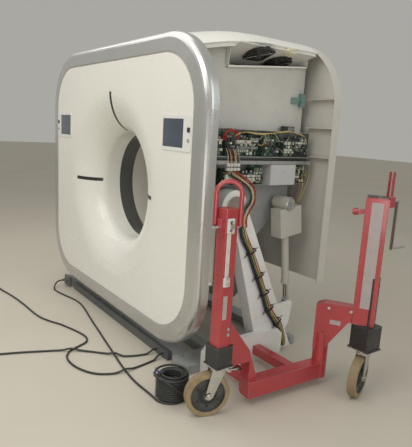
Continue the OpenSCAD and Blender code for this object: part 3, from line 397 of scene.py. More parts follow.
def block(bm, a, b, bev=0.0, place=Vector, segments=1):
    """A bevelled box between two corners. place turns its points into points of the scene."""
    vs = bmesh.ops.create_cube(bm, size=1.0)["verts"]
    for v in vs:
        v.co = place([a[i] + (b[i] - a[i]) * (v.co[i] + 0.5) for i in range(3)])
    if bev > 0:
        es = list({e for v in vs for e in v.link_edges})
        bmesh.ops.bevel(bm, geom=es, offset=bev, segments=segments, affect="EDGES")


def rod(bm, p, q, r, seg=16):
    p, q = Vector(p), Vector(q)
    d = q - p
    m = Matrix.Translation((p + q) / 2) @ d.to_track_quat("Z", "Y").to_matrix().to_4x4()
    bmesh.ops.create_cone(bm, cap_ends=True, segments=seg, radius1=r, radius2=r, depth=d.length, matrix=m)


def ring(bm, centre, axis, profile, seg=48):
    """Turns a closed profile of (radius, height) about an axis through centre."""
    centre, axis = Vector(centre), Vector(axis).normalized()
    u = axis.orthogonal().normalized()
    w = axis.cross(u)
    skin(bm, [[centre + (u * c + w * s) * r + axis * h for r, h in profile] for c, s in turns(seg)], True)


WASHER = 0.0015


def hex_bolt(bm, p, axis, r, h):
    """Washer, hexagonal head and the end of the thread."""
    p, axis = Vector(p), Vector(axis).normalized()
    for low, high, radius, seg in ((0, WASHER, r * 1.45, 24), (WASHER, WASHER + h, r, 6),
                                   (WASHER + h, 2 * WASHER + h, r * 0.55, 16)):
        rod(bm, p + axis * low, p + axis * high, radius, seg)


# cords: routes in mm, where a point without a height lies on the floor
LEAD_R = 7.0
LEAD_OVER = 3 * LEAD_R + 0.4
CORD_R = 0.0068
COIL_PITCH = 14.0
PLUG_Z = 39.3
LEAD_A = [
    (-940, -358.3, 58), (-940, -380, 58), (-933, -414, 53), (-914, -444, 34), (-884, -463, 13),
    (-850, -470), (-760, -462), (-640, -436), (-520, -408), (-390, -404), (-250, -424), (-100, -452),
    (60, -480), (210, -504), (335, -526), (470, -548), (600, -570), (730, -592), (863, -609), (980, -616),
    (1070, -612), (1140, -608.5), (1200, -607.9)]
LEAD_TAIL = [
    (1010, -296.3, 30), (1010, -312, 30), (1014, -332, 26), (1024, -349, 18), (1040, -362, 10),
    (1062, -369), (1092, -371), (1125, -371), (1185, -381), (1256, -413.5)]
LEAD_B = [
    (771, -298, 30), (771, -318, 30), (774, -336, 27), (779, -353, 19), (785, -371, 10), (791, -390),
    (812, -500), (822, -560, 11), (825, -606, LEAD_OVER), (823, -652, 11), (808, -706), (760, -780),
    (680, -830), (580, -858), (470, -852), (390, -800), (350, -720), (310, -650), (230, -622),
    (120, -640), (20, -670), (-70, -700), (-170, -750), (-290, -790), (-440, -806), (-600, -816),
    (-760, -832), (-920, -856), (-1050, -882), (-1180, -891.8), (-1290, -891.8)]
LEAD_C = [
    (690, -298, 30), (690, -318, 30), (690, -336, 27), (689, -353, 19), (687, -371, 10), (684, -390),
    (671, -450), (643, -515), (620, -540, 11), (591, -568, LEAD_OVER), (560, -598, 11), (520, -634),
    (470, -684), (416, -749, 11), (387, -794, LEAD_OVER), (363, -838, 11), (338, -884), (290, -1000),
    (250, -1100), (214, -1207), (178.6, -1309.2)]
COIL_A = (1208, -505)
# name, route, centre of its flat coil and the angle at which the route meets it
SPARE_LEADS = (("lead_b", LEAD_B, (-1290, -990), 90), ("lead_c", LEAD_C, (270, -1345), 158.6))


def floor_path(route):
    return smooth_path([(*p, LEAD_R)[:3] for p in route], 3)


def ease(f):
    return f * f * (3 - 2 * f)


def polar(centre, r, angle, z):
    return Vector((centre[0] + r * math.cos(angle), centre[1] + r * math.sin(angle), z))


def winding(centre, start_deg, layers, rows, r_in, steps=16):
    """Turns of a coil, layer by layer: rows turns up, then down. layers are radii, outer first."""
    out = []
    z, up = LEAD_R, 1
    for li, r in enumerate(layers):
        for k in range(rows):
            last = k == rows - 1
            for s in range(steps):
                f = s / steps
                rise = 0.0 if last else COIL_PITCH * max(0.0, (f - 0.75) * 4) * up
                rr = r
                if li == k == 0:
                    rr = r + (r_in - r) * max(0.0, 1 - f * 3) ** 2
                if last and li < len(layers) - 1 and f > 0.6:
                    rr = r + (layers[li + 1] - r) * (f - 0.6) / 0.4
                out.append(polar(centre, rr, math.radians(start_deg) + math.tau * f, z + rise))
            if not last:
                z += COIL_PITCH * up
        up = -up
    return out


def coil_end(centre, deg, r0, z0, r1, z1, sweep, steps=12, climb=1.0):
    """From the last turn onto the top of the coil, or down its outside. climb: share in which z changes."""
    out = []
    for k in range(steps + 1):
        f = k / steps
        out.append(polar(centre, r0 + (r1 - r0) * ease(f), math.radians(deg + sweep * f),
                         z0 + (z1 - z0) * ease(min(f / climb, 1.0))))
    return out


def make_cord(name, pts_mm):
    pts = [p * MM for p in pts_mm]
    o = tubes(name, [pts], CORD_R, lead_black, "stand", 2)
    return o


def make_plug(name, p, d):
    """Moulded connector at the end of a lead: ribbed grip, collar and body."""
    d = Vector((d.x, d.y, 0)).normalized()
    u = d.cross(UP)
    q = Vector((p.x, p.y, PLUG_Z))
    profile = [(0, 7.2), (4, 8.4), (5, 7.4), (9, 8.8), (10, 7.6), (14, 9.2), (16, 10.8), (38, 10.8),
               (40, 9.6), (44, 9.6)]
    rows = [[(q + d * h + (u * c + UP * s) * r) * MM for c, s in turns(20)] for h, r in profile]
    return piece(name, inlet_grey, "stand", skin, (rows,))


def make_cords():
    # lead a: from the connector group along the floor, round the coil, and back into the base
    coil = winding(COIL_A, -82, [89, 75, 61], 10, 102)[:-4]
    low, top, out = LEAD_R + 9 * COIL_PITCH, LEAD_R + 10 * COIL_PITCH, 103.3
    over = coil_end(COIL_A, 188, 61, low, out, top, 460, 40, 0.24)
    down = coil_end(COIL_A, 288, out, top, out, LEAD_R, 130, 18)
    o = make_cord("lead_a_cord", floor_path(LEAD_A) + coil + over + down[1:] + floor_path(LEAD_TAIL[::-1]))
    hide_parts("lead_a", "floor_coil")
    for name, route, centre, start in SPARE_LEADS:
        coil = winding(centre, start + 8, [84, 70, 56], 2, 97)
        end = coil_end(centre, start + 8, 56, LEAD_R + COIL_PITCH, 70, PLUG_Z, 92)
        plug = make_plug(name + "_plug", end[-1], (end[-1] - end[-2]).normalized())
        o = make_cord(name + "_cord", floor_path(route) + coil + end)
        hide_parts(name, "lead_coils")
        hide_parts("lead_plugs")


make_cords()


def make_coil_tie():
    """Violet strap looped round the turns of the coil, with its loose tail."""
    centre, turn = Vector((*COIL_A, 0)) * MM, math.radians(-118)
    out, side = Vector((math.cos(turn), math.sin(turn), 0)), Vector((-math.sin(turn), math.cos(turn), 0))
    inner, outer, rim, low, top = 0.0525, 0.0970, 0.1115, 0.0004, 0.1555
    thick, half, soft = 0.0014, 0.0045, 0.012
    rows = []
    for r, z, a0, a1 in ((outer - soft, low + soft, -90, 0), (outer - soft, 0.118, 0, 0),
                         (rim - soft, top - soft, -40, 90), (inner + soft, top - soft, 90, 180),
                         (inner + soft, low + soft, 180, 270)):
        for k in range(7 if a1 > a0 else 1):
            a = math.radians(a0 + (a1 - a0) * k / 6)
            rows.append([centre + out * (r + math.cos(a) * (soft + d))
                         + UP * max(z + math.sin(a) * (soft + d), 0.0) + side * w
                         for w, d in rect(-half, half, 0, thick)])
    bm = bmesh.new()
    skin(bm, rows, loop=True)
    knot = centre + out * 0.084 + UP * (top + 0.002)
    rod(bm, knot - side * 0.006, knot + side * 0.006, 0.0045, 12)
    rod(bm, knot, knot + out * 0.020 + side * 0.012 + UP * 0.030, 0.0016, 8)
    finish("coil_tie", bm, tie_violet, "stand")


# wires
WIRE_COLORS = {
    "red": (0.32, 0.03, 0.025), "yellow": (0.55, 0.42, 0.12), "beige": (0.58, 0.52, 0.38),
    "black": (0.02, 0.02, 0.022), "green": (0.05, 0.12, 0.07), "purple": (0.08, 0.06, 0.16),
    "white": (0.68, 0.67, 0.62), "grey": (0.28, 0.29, 0.29)}
WIRE_MATS = {}


def wire_mat(c):
    if c not in WIRE_MATS:
        WIRE_MATS[c] = paint("wire_" + c, WIRE_COLORS[c], 0.45, spread=0.2, scale=60,
                             dirt=((0.12, 0.11, 0.10), 0.25))
    return WIRE_MATS[c]


def wire(name, pts_mm, r_mm, color, n=5, res=2):
    tubes(name, [[p * MM for p in smooth_path(pts_mm, n)]], r_mm * MM, wire_mat(color), "gantry", res)


# harness on the pillar and its loop above; wires: colour, radius, way across, way out
HARNESS_X = 1080.3
PILLAR_RUN = [(HARNESS_X, y, z) for y, z in (
    (60, 930), (92, 850), (147, 762), (232, 589), (318, 410), (356, 330), (420, 246), (470, 190), (506, 120),
    (530, 30))]
TIES = ((147, 762), (230, 589), (292, 464), (352, 338), (440, 224))
PILLAR_WIRES = (
    ("red", 4.6, -24, -9), ("red", 4.2, -17, -3), ("yellow", 3.2, -9, 6), ("beige", 3.4, -3, 8),
    ("black", 5.0, 5, 2), ("green", 4.4, 13, 5), ("black", 4.6, 20, -2), ("purple", 3.8, 27, -8),
    ("grey", 4.0, -11, -11), ("black", 4.8, 0, -10), ("yellow", 2.6, 8, 10), ("red", 3.4, 16, -12))
LOOP_RUN = [
    (1000, -40, 1300), (1030, -22, 1268), (1062, 40, 1227), (1082, 100, 1172), (1088, 112, 1104),
    (1084, 76, 1046), (HARNESS_X, 60, 985), (HARNESS_X, 60, 930)]
LOOP_WIRES = (
    ("red", 4.6, -18, -5), ("yellow", 3.2, -9, 6), ("beige", 3.4, -2, 8), ("black", 5.0, 6, 0),
    ("red", 4.2, 14, -6), ("green", 4.4, 21, 3), ("red", 5.2, -26, 3), ("grey", 3.8, 3, -9))
PILLAR_SWAY, LOOP_SWAY = 1.6, 2.2


def make_harness():
    rnd = random.Random(3)
    base = smooth_path(PILLAR_RUN, 6)
    groups = {}
    for color, r, u, x in PILLAR_WIRES:
        ph = rnd.random() * 6
        path = beside(base, lambda i: (u + PILLAR_SWAY * math.sin(i * 0.55 + ph),
                                       x + PILLAR_SWAY * 0.4 * math.cos(i * 0.7 + ph)))
        groups.setdefault((color, r), []).append(path)
    for (color, r), paths in groups.items():
        tubes("pillar_wires_%s_%d" % (color, int(r * 10)), paths, r * MM, wire_mat(color), "stand", 2)
    core = tubes("pillar_wires_core", [[p * MM for p in base]], 0.011, wire_mat("black"), "stand")
    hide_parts("pillar_harness")
    # black ties round the bundle, with their tails and stand-off feet
    bm = bmesh.new()
    route = smooth_path(PILLAR_RUN, 10)
    for y, z in TIES:
        i = min(range(len(route)), key=lambda k: (route[k] - Vector((HARNESS_X, y, z))).length)
        c = route[i] * MM
        t, u = across(route, i)
        rows = []
        for ca, sa in turns(28):
            su, sx = (math.copysign(abs(a) ** 0.7, a) for a in (ca, sa))
            inner = c + u * (su * 0.034) + X * (sx * 0.0188)
            outer = c + u * (su * 0.0375) + X * (sx * 0.0205)
            rows.append([inner - t * 0.006, outer - t * 0.006, outer + t * 0.006, inner + t * 0.006])
        skin(bm, rows, loop=True)
        for way, along in ((-0.040, 0.6), (0.038, -0.5), (0.046, 0.2)):
            p = c + u * way
            rod(bm, p, p + u * math.copysign(0.022, way) + t * 0.008 * along + X * 0.006, 0.0024, 8)
        for way in (-0.026, -0.008, 0.010, 0.028):
            p = c + u * way
            block(bm, p + Vector((0.017, -0.004, -0.004)), p + Vector((0.0235, 0.004, 0.004)), 0.001)
    finish("pillar_ties", bm, black, "stand")
    # loop from the rack on the gantry to the top of the pillar
    base = smooth_path(LOOP_RUN, 7)
    for n, (color, r, u, x) in enumerate(LOOP_WIRES):
        path = beside(base, lambda i: (u + LOOP_SWAY * math.sin(i * 0.4 + n * 1.7), x))
        tmp = tubes("tmp", [path], r * MM, wire_mat(color), None, 2)
        bpy.context.view_layer.update()
        me = bpy.data.meshes.new_from_object(tmp)
        bpy.data.objects.remove(tmp)
        shade_smooth(me)
        o = add("loop_wire_%d" % n, me, None, None)
        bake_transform(o)


make_harness()

# electronics: front plane of the rack, its shelves, and modules as (y, width, depth, height) in mm
BX = 0.906
RACK_LOW, RACK_MID, RACK_MID1, RACK_TOP = 1.186, 1.344, 1.374, 1.542
UPPER = [
    (-136, 56, 88, 150), (-66, 74, 104, 128), (22, 118, 76, 118), (152, 84, 60, 140), (250, 92, 92, 132),
    (356, 62, 70, 150), (432, 96, 100, 112), (542, 130, 84, 128)]
LOWER = [
    (-136, 48, 60, 140), (-72, 96, 84, 96), (38, 150, 96, 78), (202, 78, 70, 120), (548, 64, 90, 110),
    (622, 58, 72, 130)]


def make_electronics():
    rnd = random.Random(11)
    draw = rnd.uniform
    looks = {
        "green": paint("pcb_green", (0.035, 0.085, 0.05), 0.4, spread=0.35, scale=50,
                       dirt=((0.18, 0.20, 0.14), 0.25)),
        "dark": paint("module_dark", (0.035, 0.04, 0.042), 0.45, spread=0.3, scale=20,
                      dirt=((0.12, 0.12, 0.11), 0.3)),
        "alu": brushed("module_metal", (0.50, 0.52, 0.52), 0.35, 1, 0.2),
        "cream": paint("module_cream", (0.62, 0.62, 0.54), 0.42, spread=0.08, scale=30),
        "olive": paint("module_olive", (0.16, 0.21, 0.13), 0.42, spread=0.2, scale=40)}
    parts = {kind: bmesh.new() for kind in looks}

    def put(kind, a, b, bev=0.0006):
        block(parts[kind], a, b, bev)

    def cyl(kind, p, q, r):
        rod(parts[kind], p, q, r, 14)

    def pick(kinds):
        return rnd.choice(kinds.split())

    def face_part(style, x, y, e, z, h, top):
        """One part on a module's face, from y to e and up from z."""
        if style == "strip":
            put(pick("cream cream olive"), (x + 0.002, y, z), (x + 0.013, e - 0.001, top), 0.0005)
        elif style == "chips":
            put(pick("dark olive dark"), (x + 0.002, y, z),
                (x + draw(0.004, 0.008), e - 0.0015, top - 0.001), 0.0005)
        else:
            t = rnd.random()
            if t < 0.25:
                yc, zc = (y + e) / 2, z + h / 2
                cyl(pick("dark alu alu"), (x + 0.002, yc, zc), (x + draw(0.012, 0.022), yc, zc),
                    min(e - y, h) * 0.42)
            elif t < 0.75:
                put(pick("dark olive cream alu dark green"), (x + 0.002, y, z),
                    (x + draw(0.005, 0.020), e - 0.001, top), 0.0007)

    def module(x, y0, y1, z0, z1, pieces):
        """Board, rows of parts over its face and parts along its top edge."""
        put(pick("green green dark"), (x + 0.0002, y0 + 0.002, z0 + 0.004),
            (x + 0.0022, y1 - 0.002, z1 - 0.002), 0)
        z = z0 + 0.008
        while z < z1 - 0.012:
            h = draw(0.008, 0.022)
            y = y0 + 0.004
            style = pick("strip mixed mixed chips")
            while y < y1 - 0.008:
                wide = draw(0.006, 0.024)
                if style == "strip":
                    wide = 0.0075
                e = min(y + wide, y1 - 0.003)
                if e - y > 0.003:
                    face_part(style, x, y, e, z, h, min(z + h, z1 - 0.002))
                y += wide + 0.001
            z += h + draw(0.002, 0.005)
        for k in range(pieces):
            y = y0 + 0.004 + k * 0.014
            if rnd.random() < 0.7 and y + 0.011 < y1:
                put(pick("dark alu olive cream"), (x - draw(0.02, 0.05), y, z1 - 0.0005),
                    (x - 0.004, y + draw(0.006, 0.011), z1 + draw(0.004, 0.016)), 0.0006)

    for row, floor_z in ((UPPER, RACK_MID1), (LOWER, RACK_LOW + 0.004)):
        for y, wide, deep, high in row:
            module(BX + deep / 1000, y / 1000, (y + wide) / 1000, floor_z, floor_z + high / 1000,
                   int(wide / 14))
    # long white connector rows, grey relay with white and brown parts, finned block
    for kind, count, x0, x1, y, step, wide, z0, z1, bev in (
            ("cream", 11, 0.078, 0.101, 0.026, 0.0105, 0.009, RACK_MID1 + 0.084, RACK_MID1 + 0.1, 0.0006),
            ("alu", 15, 0.078, 0.098, 0.030, 0.012, 0.008, RACK_MID1 + 0.046, RACK_MID1 + 0.062, 0.0006),
            ("cream", 4, 0.098, 0.119, 0.046, 0.036, 0.030, RACK_LOW + 0.030, RACK_LOW + 0.052, 0.001),
            ("cream", 4, 0.098, 0.115, 0.046, 0.036, 0.030, RACK_LOW + 0.058, RACK_LOW + 0.070, 0.001)):
        for k in range(count):
            put(kind, (BX + x0, y + k * step, z0), (BX + x1, y + wide + k * step, z1), bev)
    # screws of the rails
    for k in range(14):
        y = -0.14 + k * 0.0635
        cyl("alu", (BX + 0.130, y, RACK_MID - 0.006), (BX + 0.1345, y, RACK_MID - 0.006), 0.0042)
        cyl("alu", (BX + 0.104, y + 0.02, RACK_TOP - 0.003), (BX + 0.104, y + 0.02, RACK_TOP + 0.003), 0.0042)
    # small box on the top shelf
    put("dark", (BX + 0.02, 0.470, RACK_TOP + 0.0005), (BX + 0.085, 0.540, RACK_TOP + 0.036), 0.002)
    put("alu", (BX + 0.0852, 0.478, RACK_TOP + 0.006), (BX + 0.0872, 0.532, RACK_TOP + 0.030), 0.001)
    for kind, look in looks.items():
        finish("bay_parts_" + kind, parts[kind], look)


make_electronics()

# limits in mm of the loose wires in the bay, and the stretch that the drive box fills
BAY_Y0, BAY_Y1 = -140, 672
BOX_Y0, BOX_Y1 = 270, 545
REAR_WIRES = (
    ("rear_yellow_a", 2.8, "yellow", (
        (1000, 664, 1346), (1012, 690, 1330), (1016, 700, 1270), (1012, 694, 1200), (1000, 672, 1120),
        (990, 650, 1062), (972, 636, 1040))),
    ("rear_yellow_b", 2.6, "yellow", (
        (1000, 640, 1250), (1008, 650, 1222), (1006, 656, 1170), (992, 652, 1110), (978, 640, 1060))),
    ("rear_red_a", 2.6, "red", (
        (1000, 604, 1236), (1010, 606, 1210), (1004, 610, 1160), (988, 612, 1110), (974, 606, 1080))),
    ("rear_red_b", 2.4, "purple", (
        (1000, 590, 1236), (1006, 588, 1204), (1000, 596, 1150), (984, 600, 1100))))


def make_bay_wires():
    rnd = random.Random(5)
    draw = rnd.uniform
    # red loops over the front end of the upper row
    for k in range(6):
        y = -96 + k * 6
        wire("red_loop_%d" % k, [
            (1000 + k * 4, y, 1470), (1024, y + 2, 1505 + k * 3), (1030, y + 40, 1540 - k * 3),
            (1018, y + 84, 1528), (1004, y + 104, 1496), (984, y + 108, 1470)], 2.6, "red")
    # yellow runs along the top of the row
    for k, color in enumerate(("yellow", "beige", "yellow")):
        wire("yellow_run_%d" % k, [
            (1008, 10, 1500 + k * 5), (1016 + k * 3, 80, 1524), (1020, 200, 1522 - k * 4), (1016, 330, 1528),
            (1022, 450, 1540 + k * 3), (1010, 560, 1536 - k * 3), (1000, 640, 1512), (994, 668, 1480)],
            2.2, color)
    # loose wires across the modules
    colors = "black black grey yellow red white green black beige purple".split()
    n = 0
    for k in range(46):
        y0 = draw(-130, 640)
        lower = rnd.random() < 0.5
        z0 = draw(1205, 1320) if lower else draw(1390, 1500)
        y1 = min(BAY_Y1, max(BAY_Y0, y0 + draw(-130, 130)))
        z1 = z0 + draw(-60, 60)
        z1 = min(1330, max(1196, z1)) if lower else min(1520, max(1384, z1))
        if lower and (BOX_Y0 < y0 < BOX_Y1 or BOX_Y0 < y1 < BOX_Y1):
            continue
        x = draw(1008, 1040)
        wire("bay_wire_%02d" % n, [
            (x - 22, y0, z0), (x, y0 + (y1 - y0) * 0.2, z0 - draw(0, 12)),
            (x + draw(0, 10), (y0 + y1) / 2, (z0 + z1) / 2 - draw(6, 26)),
            (x, y0 + (y1 - y0) * 0.85, z1), (x - 24, y1, z1)], draw(1.3, 2.4), rnd.choice(colors), 4, 1)
        n += 1
    # wires down from the upper row into the white clamps, then into the loop
    for k, color in enumerate("beige black yellow red black beige yellow black grey".split()):
        y = -62 + k * 11
        wire("drop_wire_%d" % k, [
            (1012, y, 1420), (1030, y + 2, 1392), (1036 + (k % 3) * 2, y + 3, 1350), (1034, y + 8, 1330)],
            2.6, color, 4)
    clamp_white = paint("clamp_white", (0.66, 0.66, 0.60), 0.4, spread=0.06, scale=30)
    piece("cable_clamps", clamp_white, "gantry", block, *(
        ((1.022, -0.070 + k * 0.027, z), (1.046, -0.047 + k * 0.027, z + 0.020), 0.002)
        for k in range(4) for z in (1.286, 1.312)))
    for k, color in enumerate("red yellow beige black red green black".split()):
        y = -58 + k * 12
        wire("clamp_wire_%d" % k, [
            (1034, y, 1330), (1040, y, 1310), (1040, y - 2, 1280), (1024, y - 10 + k, 1262),
            (1004, -40 + k * 2, 1292)], 2.6, color, 4)
    # long wires from the rear of the rack down past the actuator
    for name, r, color, pts in REAR_WIRES:
        wire(name, pts, r, color)


make_bay_wires()

# castors: radii of the wheel's hub and of its tread, the swivel axes, and the headings
HUB_R, TREAD_R, STEP_GAIN = 0.0985, 0.1235, 300.0
WHEEL_R, TRAIL = 0.125, 0.055
HUB_RING = ((0.040, -0.001), (0.040, 0.004), (0.046, 0.006), (0.052, 0.004), (0.052, -0.001))
FRONT, REAR, HINGE = Vector((1.475, -0.392, 0)), Vector((1.752, 0.508, 0)), Vector((1.536, 0.372, 0))
FRONT_ANGLE, REAR_ANGLE = math.atan2(-0.317, 0.948), math.atan2(0.314, 0.948)


def wheel_material(name, centre, axis):
    """Tan tyre and dark hub, split by the distance from the axle."""
    m, nt, b = material(name)
    v = coords(nt)
    arm = vector_math("SUBTRACT", 0, v, centre)
    far = vector_math("LENGTH", "Value", vector_math("CROSS_PRODUCT", 0, arm, axis))
    rad = mathn("ADD", far, times(noise(v, 40, 4.0), 0.004))

    def beyond(radius, top):
        step = times(mathn("SUBTRACT", rad, radius), STEP_GAIN)
        return ramp(step, [(0.0, 0.0), (1.0, top)])

    tyre = ramp(noise(v, 26, 8.0, 0.7), [(0.3, (0.25, 0.18, 0.10)), (0.62, (0.35, 0.26, 0.145)),
                                         (0.8, (0.42, 0.32, 0.20))])
    hub = ramp(noise(v, 18, 6.0), [(0.35, (0.045, 0.046, 0.043)), (0.75, (0.095, 0.092, 0.083))])
    col = mix(beyond(HUB_R, 1.0), hub, tyre)
    feed(b, {"Base Color": mix(beyond(TREAD_R, 0.45), col, (0.21, 0.165, 0.105)),
             "Roughness": ramp(noise(v, 60, 6.0), [(0.3, 0.45), (0.7, 0.7)])})
    bump(b, noise(v, 300, 4.0), 0.25, 0.0008)
    return m


def make_castor(pre, place, angle, plate):
    """Trim of one castor. plate is half the side of its plate, without the rim."""
    ax = Vector((math.cos(angle), math.sin(angle), 0))
    fw = Vector((-math.sin(angle), math.cos(angle), 0))
    hub = place - fw * TRAIL + UP * WHEEL_R
    set_mat(pre + "_wheel", wheel_material(pre + "_wheel_mat", hub, ax))
    # hub rings and bolts on both sides of the wheel, and the axle's nuts on the fork
    rings, fork = bmesh.new(), bmesh.new()
    for s in (-1, 1):
        out = ax * s
        ring(rings, hub + out * 0.0172, out, HUB_RING, 40)
        for c, d in turns(6):
            p = hub + (UP * c + fw * d) * 0.066
            rod(rings, p + out * 0.0168, p + out * 0.0205, 0.006, 12)
        hex_bolt(fork, hub + out * 0.0411, out, 0.0125, 0.008)
    finish(pre + "_hub_rings", rings, black, pre + "_wheel_body")
    # swivel raceway
    ring(fork, place + UP * 0.267, UP, [(0.0445, 0.0), (0.047, 0.002), (0.047, 0.012), (0.0445, 0.014)])
    finish(pre + "_fork_trim", fork, zinc, pre + "_castor")
    # plate bolts and the bright edge of the castor plate
    bm = bmesh.new()
    for sx in (-1, 1):
        for sy in (-1, 1):
            p = place + Vector((sx * (plate - 0.004), sy * (plate - 0.006), 0.2858))
            hex_bolt(bm, p, -UP, 0.007, 0.006)
    half = Vector((plate + 0.0095, plate + 0.0055, 0))
    block(bm, place - half + UP * 0.2862, place + half + UP * 0.2905, 0.0015)
    finish(pre + "_plate_trim", bm, zinc, pre + "_leg_body")
    # rubber pad of the brake pedal
    pad = place + fw * 0.118 + UP * 0.2585
    half = Vector((0.026, 0.013, 0.005))
    piece(pre + "_pedal_pad", black, pre + "_brake_body", block,
          (-half, half, 0.003, lambda q: pad + ax * q[0] + fw * q[1] + UP * q[2], 2))


make_castor("front", FRONT, FRONT_ANGLE, 0.054)
make_castor("rear", REAR, REAR_ANGLE, 0.065)

# fan tray, with the fans' sloping plane and the tray's share of the roof's climb
FAN_SLOPE = math.radians(17)
FAN_X, FAN_PLANE = 0.950, 2.032
FAN_PLACES, FAN_HOLE, FAN_R = ((0.932, 0.215), (0.852, 0.452)), 0.086, 0.0835
TRAY_FRONT, TRAY_REAR, TRAY_RISE = -0.020, 0.672, 0.100
TRAY_IN, TRAY_LIP, TRAY_OUT, TRAY_TAPER = 0.745, 0.930, 1.027, 0.026
TRAY_ROWS, TRAY_COLS = 90, 34
PANEL_TOP = 1.932
PLATE_SHARE = 0.2
LIP_H, SHEET = 0.013, 0.003
# hem and sheet that hang from the roof: places, height and thickness
HEM_X, HEM_H, HEAD_X, HANG_T, HANG_Y0, HANG_Y1 = 0.984, 0.030, 0.902, 0.002, -0.262, 0.690


def fan_plane(x):
    return FAN_PLANE + math.tan(FAN_SLOPE) * (x - FAN_X)


def tray_lift(y):
    """The tray climbs towards the rear, as the roof does."""
    return TRAY_RISE * (y - 0.5 * (TRAY_FRONT + TRAY_REAR))


def plate_z(x, y):
    return fan_plane(x) + PLATE_SHARE * tray_lift(y)


def lip_low(y):
    return PANEL_TOP + 0.012 + tray_lift(y)


def roof_under(tree, x, y):
    """Height of the roof's inner face over a point, or None outside the roof."""
    hit = tree.ray_cast(Vector((x, y, 1.90)), UP)[0]
    return hit.z if hit else None


def hanging_sheet(bm, tree, x, y0, y1, low):
    """Upright sheet along Y whose top edge follows the roof's inner face."""
    cols = []
    for i in range(41):
        y = y0 + (y1 - y0) * i / 40
        top = roof_under(tree, x, y)
        if top is None or top - low(y, top) < 0.003:
            continue
        cols.append([(px, y, z) for z, px in rect(low(y, top), top - 0.0005, x, x + HANG_T)])
    skin(bm, cols)


def hem_low(y, top):
    low = top - HEM_H
    return max(low, plate_z(HEM_X, y)) if y > TRAY_FRONT else low


def make_fan_tray():
    fans = [Vector((x, y, fan_plane(x))) for x, y in FAN_PLACES]
    tree = BVHTree.FromObject(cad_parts["top_cover"], bpy.context.evaluated_depsgraph_get())
    bm = bmesh.new()
    grid = []
    for i in range(TRAY_ROWS + 1):
        y = TRAY_FRONT + (TRAY_REAR - TRAY_FRONT) * i / TRAY_ROWS
        wide = TRAY_OUT - TRAY_TAPER * i / TRAY_ROWS - TRAY_IN
        xs = [TRAY_IN + wide * j / TRAY_COLS for j in range(TRAY_COLS + 1)]
        grid.append([bm.verts.new((x, y, plate_z(x, y))) for x in xs])
    for a, b in zip(grid, grid[1:]):
        for j in range(TRAY_COLS):
            c = (a[j].co + b[j + 1].co) / 2
            if min((c.xy - f.xy).length for f in fans) > FAN_HOLE:
                bm.faces.new((a[j], a[j + 1], b[j + 1], b[j]))
    loose = [v for v in bm.verts if not v.link_faces]
    bmesh.ops.delete(bm, geom=loose, context="VERTS")
    bmesh.ops.solidify(bm, geom=list(bm.faces), thickness=SHEET)
    # lip with a folded rim, gutter floor behind it and the two end plates
    for corners in (rect(TRAY_LIP - SHEET, TRAY_LIP, 0.0, LIP_H),
                    rect(TRAY_LIP - 0.009, TRAY_LIP, LIP_H - SHEET, LIP_H),
                    rect(TRAY_IN, TRAY_LIP - SHEET, 0.0, SHEET)):
        skin(bm, [[(x, y, lip_low(y) + z) for x, z in corners] for y in (TRAY_FRONT, TRAY_REAR)])
    edge = TRAY_LIP + 0.016
    for y in (TRAY_FRONT, TRAY_REAR - SHEET):
        profile = [(TRAY_IN, lip_low(y)), (TRAY_LIP, lip_low(y)), (edge, roof_under(tree, edge, y) - 0.001),
                   (TRAY_IN, roof_under(tree, TRAY_IN, y) - 0.001)]
        skin(bm, [[(x, y + d, z) for x, z in profile] for d in (0, SHEET)])
    o = finish("fan_tray", bm, fan_white)
    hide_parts("fan_box")
    # white hem under the roof's edge and grey sheet above the inner panel, in front of the tray
    piece("tray_hem", fan_white, "gantry", hanging_sheet, (tree, HEM_X, HANG_Y0, HANG_Y1, hem_low))
    piece("panel_head", bay_grey, "gantry", hanging_sheet,
          (tree, HEAD_X, HANG_Y0, TRAY_FRONT - 0.002, lambda y, top: PANEL_TOP - 0.002))
    # grey sheet that fills the wedge between the inner panel and the climbing tray
    profile = [(0.110, PANEL_TOP - 0.002), (HANG_Y1, PANEL_TOP - 0.002), (HANG_Y1, lip_low(HANG_Y1) + 0.004),
               (0.110, PANEL_TOP + 0.002)]
    rows = [[(x, y, z) for y, z in profile] for x in (0.9022, 0.9058)]
    piece("panel_wedge", bay_grey, "gantry", skin, (rows,))
    # black square fan frames with wire guards
    n = Vector((-math.sin(FAN_SLOPE), 0, math.cos(FAN_SLOPE)))
    u = Vector((n.z, 0, -n.x))
    frames, guards = bmesh.new(), bmesh.new()
    for c in fans:
        ring(frames, c, n, rect(FAN_R, 0.0870, -0.022, 0.003), 64)
        for h in (-0.022, -0.001):
            rows = []
            for ca, sa in turns(64):
                square = min(0.0855 / max(abs(ca), abs(sa)), 0.106)
                out = u * ca + Y * sa
                rows.append([c + out * r + n * (h + d) for r, d in rect(FAN_R, square, 0, 0.004)])
            skin(frames, rows, loop=True)
        for r in (0.026, 0.042, 0.058, 0.074):
            ring(guards, c - n * 0.0245, n, rect(r - 0.001, r + 0.001, -0.001, 0.001))
        for k in range(4):
            t = math.pi / 4 * (2 * k + 1)
            d = u * math.cos(t) + Y * math.sin(t)
            rod(guards, c - n * 0.0255 + d * 0.010, c - n * 0.0255 + d * 0.092, 0.0012, 8)
    finish("fan_frames", frames, black)
    finish("fan_guards", guards, steel)


# along the swing arm, and out of its side that faces the camera
ARM = (REAR - HINGE).normalized()
ARM_OUT = Vector((ARM.y, -ARM.x, 0))


def on_column(q):
    """Point given along the arm, across it and up, from the foot of the rear column."""
    return REAR + ARM * q[0] - ARM_OUT * q[1] + UP * q[2]


